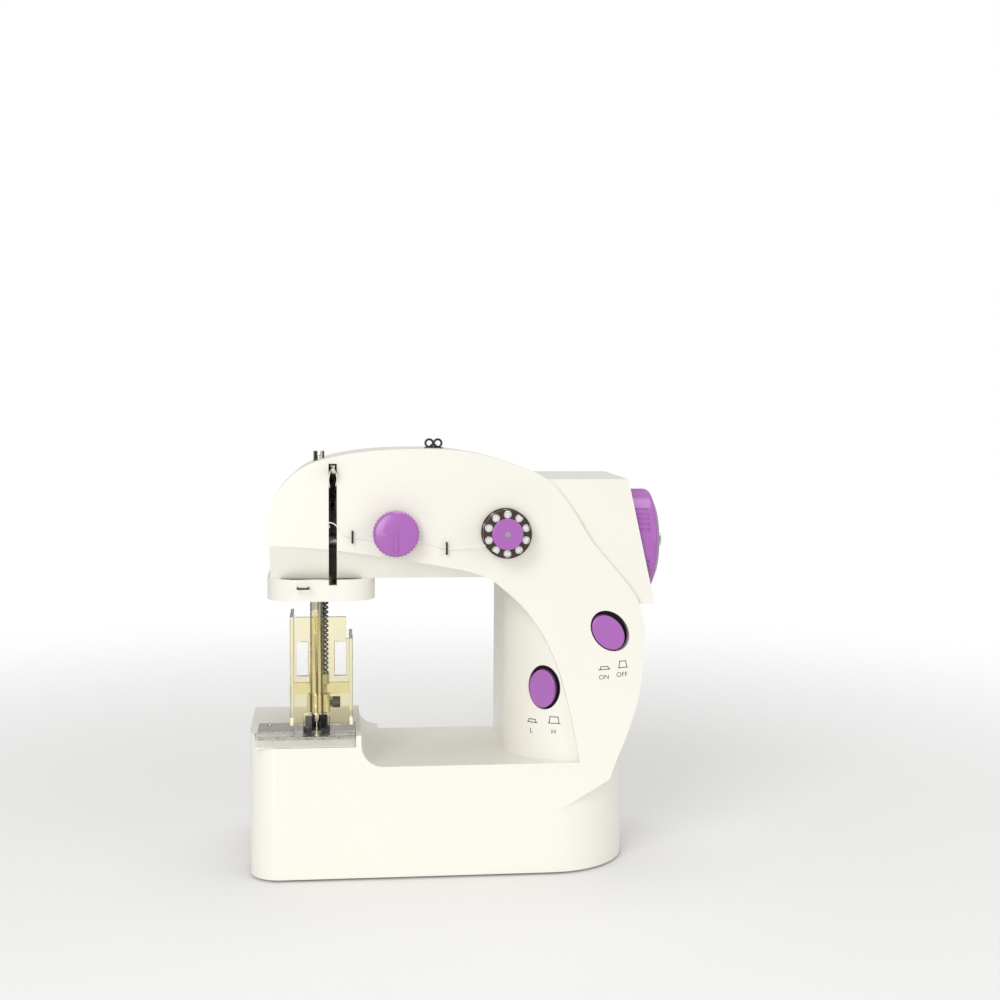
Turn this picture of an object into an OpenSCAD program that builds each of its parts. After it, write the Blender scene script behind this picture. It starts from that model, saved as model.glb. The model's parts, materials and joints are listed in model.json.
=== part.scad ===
// Small two-speed toy sewing machine: a white case in two halves, purple controls, and the drive inside it.
// The origin lies on the table under the middle of the machine. +X runs to the handwheel, -Y to the user.

/* [Machine] */
// Overall length, from the left end of the base to the end of the main shaft
machine_l = 192; // [186:1:204]
// Overall depth, from the bobbin cap to the back of the base
machine_d = 104; // [102:1:112]
// Top of the arm above the table
arm_top_z = 195; // [193:1:204]
// Top of the bed above the table
bed_z = 52; // [51:0.5:54]
// Height of the arm, from its top to the throat
arm_h = 58.7; // [56:0.5:60]
// Depth of the arm, front panel to its back
arm_d = 64; // [63:0.5:70]
// Depth of the pillar, front panel to its back
pillar_d = 84; // [82:1:88]
// How far the bobbin stands in front of the panel
front_reach = 12; // [12:0.1:13]

/* [Case] */
// Wall thickness of the case
wall = 2.4; // [2:0.1:2.6]
// Distance from the panel to the seam of the two halves
seam_depth = 40; // [38:1:42]
// Gap under the case
case_lift = 1.2; // [1:0.1:1.8]
// Distance from the left end of the base to the left end of the head
head_inset = 8; // [6:0.5:10]
// Length of the base left free at the right
base_short = 17; // [15:0.5:19]
// Radius of the base's front right corner
base_front_r = 38; // [34:1:40]
// Radius of the base's rear right corner
base_back_r = 30; // [26:1:32]
// Radius of the base's left corners
base_left_r = 14; // [10:1:18]
// Rounding of the bed's rear edge
bed_back_r = 18; // [14:1:20]
// Length of the raised platform under the needle
platform_l = 50; // [48:0.5:54]
// Height of the platform above the bed
platform_rise = 14.5; // [14:0.1:16]
// Fillet between platform and bed
platform_fillet_r = 10; // [8:0.5:12]
// Distance from the right end to the pillar's left face
pillar_from_right = 74.5; // [73:0.5:77]
// Radius of the pillar's front left corner
pillar_r = 32.5; // [30:0.5:34]
// How far the pillar stands back from the raised panel
pillar_set = 3; // [2:0.5:4]
// How far the panel's edge stands out round the arm behind it
panel_rim = 1.6; // [1:0.1:2]
// Radius of the pillar's rear left corner
pillar_back_r = 10; // [6:1:14]
// How far the chin runs back under the arm
chin_run = 10; // [8:0.5:12]
// Height of the chin at the head
chin_rise = 16; // [14:0.5:18]
// Depth of the raised panel
panel_t = 12; // [8:0.5:14]
// Length of the crease under the panel's foot
panel_foot_l = 28; // [26:0.5:30]
// Rise of the crease under the panel's foot
panel_foot_h = 17; // [14:0.5:20]
// Lowest point of the crease below the bed
panel_foot_drop = 24; // [22:0.5:26]
// Slant under the panel's foot in degrees
panel_foot_slant = 60; // [50:1:65]
// Drop of the lower head housing below the arm
head_drop = 9.7; // [9:0.1:12]
// Length of the lower head housing
head_base_l = 48.5; // [46:0.5:52]
// Corner radius of the lower head housing
head_base_r = 14; // [10:1:18]
// Set-back of the lower head housing from the panel
head_base_set = 4; // [3:0.5:6]
// Top of the wheel housing below the arm's top
housing_drop = 13.7; // [13:0.1:15]
// Right end of the wheel housing at its foot, from the overall right end
housing_low_gap = 8; // [7:0.5:10]
// Right end of the wheel housing at its top, from the overall right end
housing_top_gap = 21; // [18:0.5:23]
// Diameter of the case screws' shanks
screw_d = 3; // [2.5:0.1:3.5]
// Diameter of the case screws' heads
screw_head_d = 6; // [5:0.1:6.5]
// Diameter of the bosses that the case screws hold
boss_d = 8; // [7:0.5:9]

/* [Needle and presser] */
// Needle, from the left end of the base
needle_from_left = 30; // [29:0.5:31]
// Needle, from the front panel
needle_depth = 16; // [15.5:0.1:16.5]
// Diameter of the needle bar
needle_bar_d = 5.6; // [5:0.1:5.8]
// Stroke of the needle bar
needle_stroke = 20; // [16:0.5:20]
// Lower end of the needle bar above the platform
needle_bar_up = 8.3; // [8.3:0.1:9]
// Length of the needle below the bar
needle_l = 24; // [22:0.5:24]
// Diameter of the needle
needle_d = 1.2; // [0.9:0.1:1.4]
// Presser bar, to the right of the needle
presser_side = 1.2; // [0.5:0.1:1.5]
// Presser bar, behind the needle
presser_back = 9.5; // [9.3:0.1:9.8]
// Diameter of the presser bar
presser_bar_d = 5; // [4.5:0.1:5.2]
// Part of the presser bar that stands out of the head
presser_show = 4.5; // [3:0.5:6]
// Lift of the presser foot
presser_lift = 5; // [4:0.1:5]
// Outer diameter of the presser spring
spring_d = 8.6; // [8.2:0.1:9]
// Wire of the presser spring
spring_wire_d = 0.9; // [0.7:0.1:1]
// Curls of the presser spring
spring_curls = 16; // [12:1:17]
// Width of the presser foot
foot_w = 12; // [11:0.5:13]
// Length of the foot's toes in front of the needle
toe_l = 12; // [10:0.5:12.5]
// Width of the finger guard
guard_w = 28; // [27:0.5:30]
// Gap between the raised finger guard and the head
guard_gap = 1.6; // [1.2:0.1:4]
// Wall of the finger guard
guard_t = 1.5; // [1.2:0.1:1.8]
// Take-up slot, from the left end of the base
slot_from_left = 37.4; // [37:0.1:38]
// Width of the take-up slot
slot_w = 3.6; // [3.2:0.1:4]
// Swing of the take-up lever in degrees
take_up_swing = 38; // [30:1:38]

/* [Shafts and drive] */
// Main shaft below the arm's top
shaft_drop = 44; // [43:0.5:45]
// Main shaft behind the panel
shaft_depth = 32; // [32:0.1:33]
// Diameter of the main and lower shafts
shaft_d = 6; // [5:0.1:6]
// Radius of the handwheel
wheel_r = 24; // [22:0.5:24]
// Width of the handwheel's rim
wheel_w = 19; // [17:0.5:19]
// Crown of the handwheel's outer face
wheel_crown = 4; // [3:0.1:5]
// Length of the shaft's end outside the wheel
shaft_show = 2; // [1:0.1:3]
// Lower shaft below the bed
lower_drop = 7; // [6.5:0.1:8]
// Radius of the hook
hook_r = 12.8; // [12.5:0.1:13]
// Radius of the belt pulleys
pulley_r = 9; // [8:0.5:10]
// Radius of the drive pulley
drive_r = 15; // [13:0.5:16]
// Radius of the motor
motor_r = 12; // [10:0.5:12.5]
// Length of the motor
motor_l = 29; // [25:0.5:30]

/* [Front controls] */
// Tension knob, from the right end of the machine
knob_from_right = 127; // [125:0.5:129]
// Diameter of the tension knob
knob_d = 20.4; // [19:0.1:22]
// Supply bobbin, from the right end of the machine
bobbin_from_right = 78; // [76:0.5:80]
// Diameter of the bobbins
bobbin_d = 21.8; // [20:0.1:22]
// Width of the bobbins
bobbin_w = 9.5; // [9:0.1:9.6]
// Diameter of the bobbin cap
cap_d = 14; // [12:0.1:16]
// Knob and bobbin below the arm's top
control_drop = 37; // [36:0.5:38]
// Power button, from the right end of the machine
power_from_right = 29.6; // [29:0.1:30]
// Power button, below the arm's top
power_drop = 82.5; // [81:0.5:84]
// Long axis of a button's hole
button_long = 20.6; // [19:0.1:21]
// Short axis of a button's hole
button_short = 15.8; // [15:0.1:16.5]
// Tilt of the power button in degrees
power_tilt = 50; // [40:1:60]
// Turn of the speed button round the pillar in degrees
speed_turn = 31; // [26:1:36]
// Speed button, below the arm's top
speed_drop = 109.5; // [108:0.5:111]
// Travel of the buttons
button_travel = 2.5; // [1.5:0.1:3]

/* [Hidden] */
$fn = 96;

// Shared clearances
overrun = 1;
clear = 0.3;
run_clear = 0.05;
slide_clear = 0.4;

// Main places
left_x = -machine_l / 2;
right_x = machine_l / 2;
front_y = -machine_d / 2;
back_y = machine_d / 2;
panel_y = front_y + front_reach;
seam_y = panel_y + seam_depth;
arm_back_y = panel_y + arm_d;
pillar_back_y = panel_y + pillar_d;
throat_z = arm_top_z - arm_h;
shaft_y = panel_y + shaft_depth;
shaft_z = arm_top_z - shaft_drop;
shaft_r = shaft_d / 2;
head_left_x = left_x + head_inset;
head_low_z = throat_z - head_drop;
needle_x = left_x + needle_from_left;
needle_y = panel_y + needle_depth;
needle_bar_r = needle_bar_d / 2;
presser_x = needle_x + presser_side;
presser_y = needle_y + presser_back;
presser_bar_r = presser_bar_d / 2;
slot_x = left_x + slot_from_left;
platform_z = bed_z + platform_rise;
platform_x = left_x + platform_l;
platform_back_y = back_y - bed_back_r;
pillar_x = right_x - pillar_from_right;
base_right_x = right_x - base_short;
lower_z = bed_z - lower_drop;
lower_y = needle_y;
control_z = arm_top_z - control_drop;
knob_x = right_x - knob_from_right;
bobbin_x = right_x - bobbin_from_right;

// Outlines of the front, as shares of half the length and of the arm's height
outer_start_share = 0.81;
outer_shares = [
  [-0.87, 0.895], [-0.771, 0.95], [-0.646, 0.977], [-0.458, 0.994], [-0.229, 1], [0, 0.995],
  [0.208, 0.969], [0.385, 0.931], [0.5, 0.866], [0.604, 0.785], [0.729, 0.713], [0.818, 0.655], [0.857, 0.59],
  [0.858, 0.528], [0.839, 0.431], [0.792, 0.346], [0.715, 0.248], [0.69, 0.2], [0.68, 0.15]
];
inner_shares = [
  [0.562, 0.15], [0.562, 0.2], [0.555, 0.266], [0.534, 0.321], [0.504, 0.392], [0.465, 0.463], [0.406, 0.539],
  [0.333, 0.6],
  [0.261, 0.643], [0.176, 0.68], [0.12, 0.7], [0.025, 0.718], [-0.115, 0.732], [-0.301, 0.747], [-0.577, 0.768],
  [-0.81, 0.778]
];
inner_end_share = 0.78;
curve_steps = 4;
corner_steps = 16;

// A smooth curve through a list of points
function curve_point(p0, p1, p2, p3, t) =
  0.5 * (2 * p1 + (p2 - p0) * t + (2 * p0 - 5 * p1 + 4 * p2 - p3) * t * t
  + (3 * p1 - p0 - 3 * p2 + p3) * t * t * t);
function curve(points) = let (last = len(points) - 1) concat(
  [for (i = [0 : last - 1]) for (s = [0 : curve_steps - 1])
    curve_point(points[max(i - 1, 0)], points[i], points[i + 1], points[min(i + 2, last)], s / curve_steps)],
  [points[last]]);
function placed(shares) = [for (s = shares) [s[0] * right_x, s[1] * arm_top_z]];

// Points of an arc, and a clockwise outline moved inwards
function arc(centre, r, from, to) = [
  for (i = [0 : corner_steps])
    let (a = from + (to - from) * i / corner_steps) centre + r * [cos(a), sin(a)]];
function unit(v) = v / norm(v);
function right_of(v) = [v[1], -v[0]];
function moved_in(path, t) = let (n = len(path)) [
  for (i = [0 : n - 1])
    let (
      before = right_of(unit(path[i] - path[(i + n - 1) % n])),
      after = right_of(unit(path[(i + 1) % n] - path[i])),
      middle = before + after)
    path[i] + middle * 2 * t / (middle * middle)];
function ellipse(long, short) = [
  for (i = [0 : 3 * corner_steps - 1]) let (a = 120 * i / corner_steps) [long / 2 * cos(a), short / 2 * sin(a)]];

// Solids laid along one axis
module box(low, high) {
  translate(low) cube(high - low);
}
module prism_x(from, to) {
  translate([from, 0, 0]) rotate([90, 0, 90]) linear_extrude(to - from) children();
}
module prism_y(from, to) {
  translate([0, to, 0]) rotate([90, 0, 0]) linear_extrude(to - from) children();
}
module prism_z(from, to) {
  translate([0, 0, from]) linear_extrude(to - from) children();
}
module rod_x(y, z, r, from, to) {
  translate([from, y, z]) rotate([0, 90, 0]) cylinder(r = r, h = to - from);
}
module rod_y(x, z, r, from, to) {
  translate([x, to, z]) rotate([90, 0, 0]) cylinder(r = r, h = to - from);
}
module rod_z(x, y, r, from, to) {
  translate([x, y, from]) cylinder(r = r, h = to - from);
}
module tube_x(y, z, r, bore_r, from, to) {
  difference() {
    rod_x(y, z, r, from, to);
    rod_x(y, z, bore_r, from - overrun, to + overrun);
  }
}
module tube_y(x, z, r, bore_r, from, to) {
  difference() {
    rod_y(x, z, r, from, to);
    rod_y(x, z, bore_r, from - overrun, to + overrun);
  }
}
module tube_z(x, y, r, bore_r, from, to) {
  difference() {
    rod_z(x, y, r, from, to);
    rod_z(x, y, bore_r, from - overrun, to + overrun);
  }
}

// A round tube swept along a list of points, closed at both ends
function path_dir(path, i) =
  unit(path[min(i + 1, len(path) - 1)] - path[max(i - 1, 0)]);
function ring_side(d, up) = unit(cross(d, abs(d * up) > 0.95 ? [up[1], up[2], up[0]] : up));
module swept(path, r, sides, up) {
  last = len(path) - 1;
  points = [
    for (i = [0 : last])
      let (d = path_dir(path, i), u = ring_side(d, up), v = cross(d, u))
      for (k = [0 : sides - 1]) path[i] + r * (cos(360 * k / sides) * u + sin(360 * k / sides) * v)];
  walls = [
    for (i = [0 : last - 1]) for (k = [0 : sides - 1]) for (half = [0, 1])
      let (a = i * sides + k, b = i * sides + (k + 1) % sides)
      half == 0 ? [a, b + sides, b] : [a, a + sides, b + sides]];
  caps = concat(
    [for (k = [1 : sides - 2]) [0, k, k + 1]],
    [for (k = [1 : sides - 2]) [last * sides, last * sides + k + 1, last * sides + k]]);
  polyhedron(concat(points), concat(walls, caps));
}

// Outlines of the case
body_bottom_z = bed_z - platform_fillet_r;
outer_path = curve(concat([[head_left_x, outer_start_share * arm_top_z]], placed(outer_shares)));
inner_path = curve(concat(placed(inner_shares), [[head_left_x, inner_end_share * arm_top_z]]));
module body_outline(t) {
  last = outer_path[len(outer_path) - 1];
  low = last[1] - panel_rim;
  polygon(moved_in(concat([[head_left_x, low]], outer_path, [[last[0], low]]), t));
}
module panel_outline() {
  polygon(concat(outer_path, inner_path));
}
crease_x = base_right_x - base_front_r;
crease_z = bed_z - panel_foot_drop;
module foot_outline() {
  right = outer_path[len(outer_path) - 1][0];
  polygon([[crease_x, crease_z], [crease_x, bed_z], [right, bed_z], [right, crease_z]]);
}
module crease_cut() {
  turn = atan2(panel_foot_h, panel_foot_l);
  intersection() {
    translate([crease_x, panel_y, crease_z]) rotate([0, -turn, 0]) rotate([panel_foot_slant, 0, 0])
      box([-machine_l, -machine_d, -machine_l], [machine_l, machine_d, 0]);
    box([left_x, front_y, 0], [right_x, back_y, bed_z - overrun]);
  }
}
module arm_section(t) {
  low = throat_z + t;
  slant = chin_run / chin_rise;
  lean = t * sqrt(1 + slant * slant);
  front = panel_y + t;
  polygon([
    [arm_back_y - t, low],
    [panel_y + chin_run + lean - slant * t, low],
    [front, throat_z + chin_rise + (lean - t) / slant],
    [front, arm_top_z + overrun],
    [arm_back_y - t, arm_top_z + overrun]]);
}
module pillar_plan(t) {
  x = pillar_x + t;
  front = panel_y + pillar_set + t;
  back = pillar_back_y - t;
  r = pillar_r - t;
  back_r = pillar_back_r - t;
  polygon(concat(
    arc([x + r, front + r], r, 270, 180),
    arc([x + back_r, back - back_r], back_r, 180, 90),
    [[right_x, back], [right_x, front]]));
}
module base_plan(t) {
  left = left_x + t;
  right = base_right_x - t;
  front = panel_y + t;
  back = back_y - t;
  left_r = base_left_r - t;
  front_r = base_front_r - t;
  rear_r = base_back_r - t;
  polygon(concat(
    arc([left + left_r, front + left_r], left_r, 270, 180),
    arc([left + left_r, back - left_r], left_r, 180, 90),
    arc([right - rear_r, back - rear_r], rear_r, 90, 0),
    arc([right - front_r, front + front_r], front_r, 0, -90)));
}
module bed_section(top, r, t, low) {
  back = back_y - t;
  high = top - t;
  polygon(concat(
    [[panel_y - overrun, low], [panel_y - overrun, high]],
    arc([back - r + t, high - r + t], r - t, 90, 0),
    [[back, low]]));
}
module platform_side(t) {
  x = platform_x - t;
  r = platform_fillet_r + t;
  low = bed_z - bed_back_r;
  polygon(concat(
    [[left_x - overrun, low], [left_x - overrun, platform_z - t], [x, platform_z - t]],
    arc([x + r, bed_z - t + r], r, 180, 270),
    [[x + r, low]]));
}
pocket_gap = 0.8;
pocket_wall = 2.2;
pocket_r = wheel_r + pocket_gap;
housing_front_y = shaft_y - pocket_r - pocket_wall;
housing_low_z = shaft_z - pocket_r - pocket_wall;
housing_top_z = arm_top_z - housing_drop;
housing_left_x = pillar_x + pillar_r / 2;
wheel_out_x = right_x - shaft_show - wheel_crown;
wheel_in_x = wheel_out_x - wheel_w;
pocket_x = wheel_in_x - overrun;
module housing_side(t) {
  top = housing_top_z - t;
  low = housing_low_z + t;
  polygon([
    [housing_left_x, low], [housing_left_x, top],
    [right_x - housing_top_gap - t, top],
    [right_x - housing_low_gap - t, low]]);
}

// The case as one block, and the room inside it
module base_block(t, low) {
  intersection() {
    prism_z(low, platform_z + overrun) base_plan(t);
    union() {
      prism_x(left_x - overrun, right_x) bed_section(bed_z, bed_back_r, t, low - overrun);
      intersection() {
        prism_y(front_y, back_y) platform_side(t);
        prism_x(left_x - overrun, right_x) bed_section(platform_z, bed_back_r + platform_rise, t, low - overrun);
      }
    }
  }
}
module case_block() {
  difference() {
    union() {
      intersection() {
        prism_y(panel_y, pillar_back_y) body_outline(panel_rim);
        union() {
          prism_x(head_left_x, right_x) arm_section(0);
          prism_z(body_bottom_z, throat_z + chin_rise) pillar_plan(0);
        }
      }
      prism_y(panel_y, panel_y + panel_t) panel_outline();
      prism_y(panel_y, panel_y + panel_t) foot_outline();
    }
    crease_cut();
  }
  prism_y(housing_front_y, arm_back_y) housing_side(0);
  base_block(0, case_lift);
}
module case_room() {
  intersection() {
    prism_y(panel_y + wall, pillar_back_y - wall) body_outline(panel_rim + wall);
    union() {
      prism_x(head_left_x, right_x) arm_section(wall);
      prism_z(bed_z + wall, throat_z + chin_rise - wall) pillar_plan(wall);
      intersection() {
        prism_z(body_bottom_z, bed_z + 2 * wall) pillar_plan(wall);
        prism_z(body_bottom_z, bed_z + 2 * wall) base_plan(wall);
      }
    }
  }
  intersection() {
    prism_y(housing_front_y + wall, arm_back_y - wall) housing_side(wall);
    box([left_x, front_y, 0], [pocket_x - wall, back_y, arm_top_z]);
  }
  base_block(wall, -overrun);
}

// Battery tray in the base
tray_l = 62;
tray_d = 66;
tray_h = 16.4;
tray_wall = 1.6;
tray_x = -tray_l / 2 - wall;

// Screws that hold the halves together, as places across and up from the reference edges
screw_places = [
  [slot_x + 1.5 * boss_d, shaft_z + 4 * boss_d],
  [bobbin_x, housing_top_z - boss_d / 2],
  [base_right_x - 1.5 * boss_d, platform_z + wall],
  [left_x + base_left_r + boss_d / 2, base_left_r],
  [tray_x + tray_l + boss_d, base_left_r]
];
screw_backs = [arm_back_y, arm_back_y, pillar_back_y, back_y, back_y];
screw_l = 2.2 * boss_d;
screw_seat = wall / 2;
module screw_bosses(from, to) {
  for (i = [0 : len(screw_places) - 1])
    rod_y(screw_places[i][0], screw_places[i][1], boss_d / 2, from, min(to, screw_backs[i] - screw_seat));
}
module screw_holes() {
  for (i = [0 : len(screw_places) - 1]) {
    x = screw_places[i][0];
    z = screw_places[i][1];
    rod_y(x, z, screw_d / 2, seam_y - screw_l, back_y + overrun);
    rod_y(x, z, screw_head_d / 2, screw_backs[i] - screw_seat - screw_d, back_y + overrun);
  }
}

// Holes in the front
control_bore_r = 2;
spindle_r = 2.5;
guide_wire_r = 0.45;
guide_span = 4.8;
power_x = right_x - power_from_right;
power_z = arm_top_z - power_drop;
speed_z = arm_top_z - speed_drop;
panel_skin = pillar_set + wall;
pillar_mid = [pillar_x + pillar_r, panel_y + pillar_set + pillar_r];
slot_low_z = throat_z - head_drop / 4;
slot_top_z = arm_top_z - arm_h / 9;
top_guide_x = knob_x + 1.8 * control_bore_r * 5;
top_flange_r = 4.4;
top_guide_y = panel_y + panel_t + top_flange_r + clear;
top_guide_r = 1.5;
left_guide = [knob_x - 0.93 * knob_d, control_z - guide_span / 2 + guide_wire_r];
right_guide = [knob_x + 1.12 * knob_d, control_z - 1.5 * guide_span];
module to_speed() {
  translate([pillar_mid[0], pillar_mid[1], speed_z]) rotate([0, 0, -speed_turn]) children();
}
module to_power() {
  translate([power_x, panel_y, power_z]) rotate([0, power_tilt, 0]) children();
}
module button_prism(from, to, gap) {
  prism_y(from, to) polygon(ellipse(button_long - 2 * gap, button_short - 2 * gap));
}
module front_holes() {
  box([slot_x - slot_w / 2, front_y, slot_low_z], [slot_x + slot_w / 2, panel_y + chin_run + 2 * wall, slot_top_z]);
  rod_z(presser_x, presser_y, presser_bar_r + slide_clear, shaft_z, arm_top_z + overrun);
  rod_y(knob_x, control_z, control_bore_r, front_y, seam_y);
  rod_y(bobbin_x, control_z, spindle_r, front_y, seam_y);
  rod_z(top_guide_x, top_guide_y, top_guide_r, shaft_z, arm_top_z + overrun);
  for (g = [left_guide, right_guide]) for (s = [-1, 1])
    rod_y(g[0], g[1] + s * guide_span / 2, guide_wire_r, front_y, panel_y + wall + overrun);
  to_power() button_prism(-overrun, panel_skin + overrun, 0);
  to_speed() rotate([0, 90, 0]) button_prism(-pillar_r - overrun, -pillar_r + 2 * wall, 0);
}

// Openings in the platform and in the right end
plate_l = 44;
plate_d = 19;
plate_t = 1.6;
plate_x = platform_x - wall - plate_l;
plate_front_y = needle_y - 0.34 * plate_d;
plate_back_y = plate_front_y + plate_d;
cover_t = 1.6;
lip_h = 5;
socket_r = 4;
socket_z = bed_z / 2;
socket_pitch = 11;
socket_y = seam_y + socket_pitch / 2;
door_l = tray_l - 2 * tray_wall - slide_clear;
door_t = 2.2;
plate_z = case_lift + wall;
module bed_openings() {
  box([plate_x, plate_front_y, platform_z - plate_t], [plate_x + plate_l, plate_back_y, platform_z + overrun]);
  box([left_x + base_left_r, plate_front_y + plate_t, bed_z],
    [plate_x + plate_l - wall, plate_back_y - plate_t, platform_z + overrun]);
  box([left_x + wall, front_y, platform_z - cover_t - clear],
    [plate_x + plate_l, plate_front_y + overrun, platform_z + overrun]);
  box([left_x + wall, front_y, platform_z - lip_h - clear],
    [plate_x + plate_l, panel_y + cover_t + clear, platform_z]);
  for (i = [0, 1])
    rod_x(socket_y + i * socket_pitch, socket_z, socket_r, base_right_x - 2 * wall, right_x);
  box([tray_x + tray_wall, seam_y + wall, -overrun],
    [tray_x + tray_l - tray_wall, back_y + overrun, case_lift + door_t + clear]);
}
module case_shell() {
  difference() {
    case_block();
    case_room();
    bed_openings();
    rod_x(shaft_y, shaft_z, pocket_r, pocket_x, right_x + overrun);
    rod_x(shaft_y, shaft_z, shaft_r + slide_clear, shaft_z / 3, pocket_x + overrun);
    box([head_left_x + wall, needle_y - arm_side - 2 * clear, throat_z - overrun],
      [head_left_x + head_base_l - wall, arm_back_y - wall, throat_z + 2 * wall]);
  }
}
module front_case() {
  color("ivory") difference() {
    union() {
      intersection() {
        case_shell();
        box([left_x - overrun, front_y, -overrun], [right_x, seam_y, arm_top_z + overrun]);
      }
      screw_bosses(panel_y + wall / 2, seam_y);
    }
    front_holes();
    screw_holes();
  }
}
module rear_case() {
  color("ivory") difference() {
    union() {
      intersection() {
        case_shell();
        box([left_x - overrun, seam_y, -overrun], [right_x, back_y + overrun, arm_top_z + overrun]);
      }
      screw_bosses(seam_y, back_y);
    }
    screw_holes();
  }
}

// Lower head housing with the guides of the two bars
bush_wall = 1.7;
needle_bush_r = needle_bar_r + run_clear + bush_wall;
presser_bush_r = presser_bar_r + run_clear + bush_wall;
bush_low_z = head_low_z - 0.6 * bush_wall;
bush_top_z = throat_z - clear;
lifter_shaft_r = 2;
block_gap = 2.2;
block_z = throat_z + block_gap;
block_h = 4;
cam_r = 3.5;
cam_throw = 0.92 * presser_lift;
cam_gap = 1.1;
lifter_z = block_z - cam_gap - cam_r;
yoke_rod_r = 2;
module head_plan(t) {
  left = head_left_x + t;
  right = head_left_x + head_base_l - t;
  front = panel_y + head_base_set + t;
  back = arm_back_y - t;
  r = head_base_r - t;
  polygon(concat(
    arc([left + r, front + r], r, 270, 180), [[left, back], [right, back]],
    arc([right - r, front + r], r, 0, -90)));
}
crank_r = needle_stroke / 2;
pin_r = 2;
crank_t = 3;
crank_clear = 3;
crank_x = needle_x - crank_clear - crank_t;
pin_l = 3;
yoke_t = 3;
yoke_x = crank_x - pin_l - clear - yoke_t;
yoke_half = 6;
arm_half = 4;
arm_side = needle_bar_r + 0.3 * yoke_t;
yoke_rod_x = yoke_x + yoke_t / 2;
yoke_rod_y = shaft_y + crank_r + pin_r + 2.5 * yoke_rod_r;
module head_base() {
  lifter_boss_r = lifter_shaft_r + bush_wall;
  color("ivory") difference() {
    union() {
      difference() {
        prism_z(head_low_z, throat_z) head_plan(0);
        prism_z(head_low_z + wall, throat_z + overrun) head_plan(wall);
      }
      rod_z(needle_x, needle_y, needle_bush_r + bush_wall, head_low_z, throat_z - clear);
      rod_z(presser_x, presser_y, presser_bush_r + bush_wall, head_low_z, throat_z - clear);
      rod_z(yoke_rod_x, yoke_rod_y, yoke_rod_r + bush_wall, head_low_z, pin_low_z - yoke_half - 2 * clear);
      intersection() {
        rod_y(presser_x, lifter_z, lifter_boss_r, arm_back_y - 3 * wall, arm_back_y);
        box([left_x, front_y, head_low_z], [right_x, back_y, throat_z - clear]);
      }
    }
    rod_z(needle_x, needle_y, needle_bush_r, bush_low_z, throat_z + overrun);
    rod_z(presser_x, presser_y, presser_bush_r, bush_low_z, throat_z + overrun);
    rod_z(yoke_rod_x, yoke_rod_y, yoke_rod_r, head_low_z + wall / 2, throat_z + overrun);
    rod_y(presser_x, lifter_z, lifter_shaft_r + run_clear, arm_back_y - 4 * wall, arm_back_y + overrun);
    box([slot_x - slot_w / 2, front_y, slot_low_z], [slot_x + slot_w / 2, needle_y, throat_z + overrun]);
  }
}

// Underside
foot_r = 6;
foot_seat = 1;
foot_places = [
  [left_x + base_left_r, panel_y + base_left_r], [left_x + base_left_r, back_y - base_left_r],
  [base_right_x - base_back_r, panel_y + base_left_r], [base_right_x - base_back_r, back_y - base_left_r]
];
module bottom_plate() {
  color("white") difference() {
    prism_z(case_lift, plate_z) base_plan(wall + clear);
    box([tray_x + tray_wall, -tray_d / 2 + tray_wall, 0],
      [tray_x + tray_l - tray_wall, back_y, plate_z + overrun]);
    for (p = foot_places) rod_z(p[0], p[1], foot_r, 0, case_lift + foot_seat);
  }
}
module rubber_feet() {
  color("dimgray") for (p = foot_places) translate([p[0], p[1], 0]) rotate_extrude() polygon([
    [0, 0], [foot_r - foot_seat, 0], [foot_r, foot_seat], [foot_r, case_lift + foot_seat],
    [0, case_lift + foot_seat]]);
}
module battery_door() {
  x = tray_x + (tray_l - door_l) / 2;
  grip_r = 1;
  color("white") difference() {
    box([x, -tray_d / 2 + tray_wall + clear, case_lift], [x + door_l, back_y, case_lift + door_t]);
    for (i = [-2 : 2])
      rod_x(back_y - tray_d / 6 + 3 * i * grip_r, case_lift - grip_r / 2, grip_r, x + door_l / 3, x + 2 * door_l / 3);
  }
}
module battery_tray() {
  low = plate_z;
  color("gainsboro") difference() {
    box([tray_x, -tray_d / 2, low], [tray_x + tray_l, tray_d / 2, low + tray_h]);
    for (i = [0 : 3])
      let (pitch = (tray_d - tray_wall) / 4)
      box([tray_x + tray_wall, -tray_d / 2 + tray_wall + i * pitch, low - overrun],
        [tray_x + tray_l - tray_wall, -tray_d / 2 + (i + 1) * pitch, low + tray_h - tray_wall]);
  }
}
module battery_contacts() {
  pitch = (tray_d - tray_wall) / 4;
  spring_l = 5;
  sheet_t = 0.5;
  half = pitch / 3;
  z = plate_z + tray_h / 2;
  color("silver") for (i = [0 : 3]) {
    y = -tray_d / 2 + tray_wall / 2 + (i + 0.5) * pitch;
    left = tray_x + tray_wall;
    right = tray_x + tray_l - tray_wall;
    box([right - sheet_t, y - half, z - half], [right, y + half, z + half]);
    box([left, y - half, z - half], [left + sheet_t, y + half, z + half]);
    translate([left + sheet_t, y, z]) rotate([0, 90, 0])
      cylinder(r1 = half - sheet_t, r2 = half / 2, h = spring_l);
  }
}
module case_screws() {
  color("gray") for (i = [0 : len(screw_places) - 1]) {
    x = screw_places[i][0];
    z = screw_places[i][1];
    seat = screw_backs[i] - screw_seat - screw_d;
    difference() {
      union() {
        rod_y(x, z, screw_head_d / 2, seat, seat + screw_d / 2);
        rod_y(x, z, screw_d / 2, seam_y - screw_l, seat);
      }
      for (turn = [0, 90])
        translate([x, seat + screw_d / 2, z]) rotate([0, turn, 0])
          cube([screw_head_d * 0.6, screw_d / 2, screw_d / 5], center = true);
    }
  }
}

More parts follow.
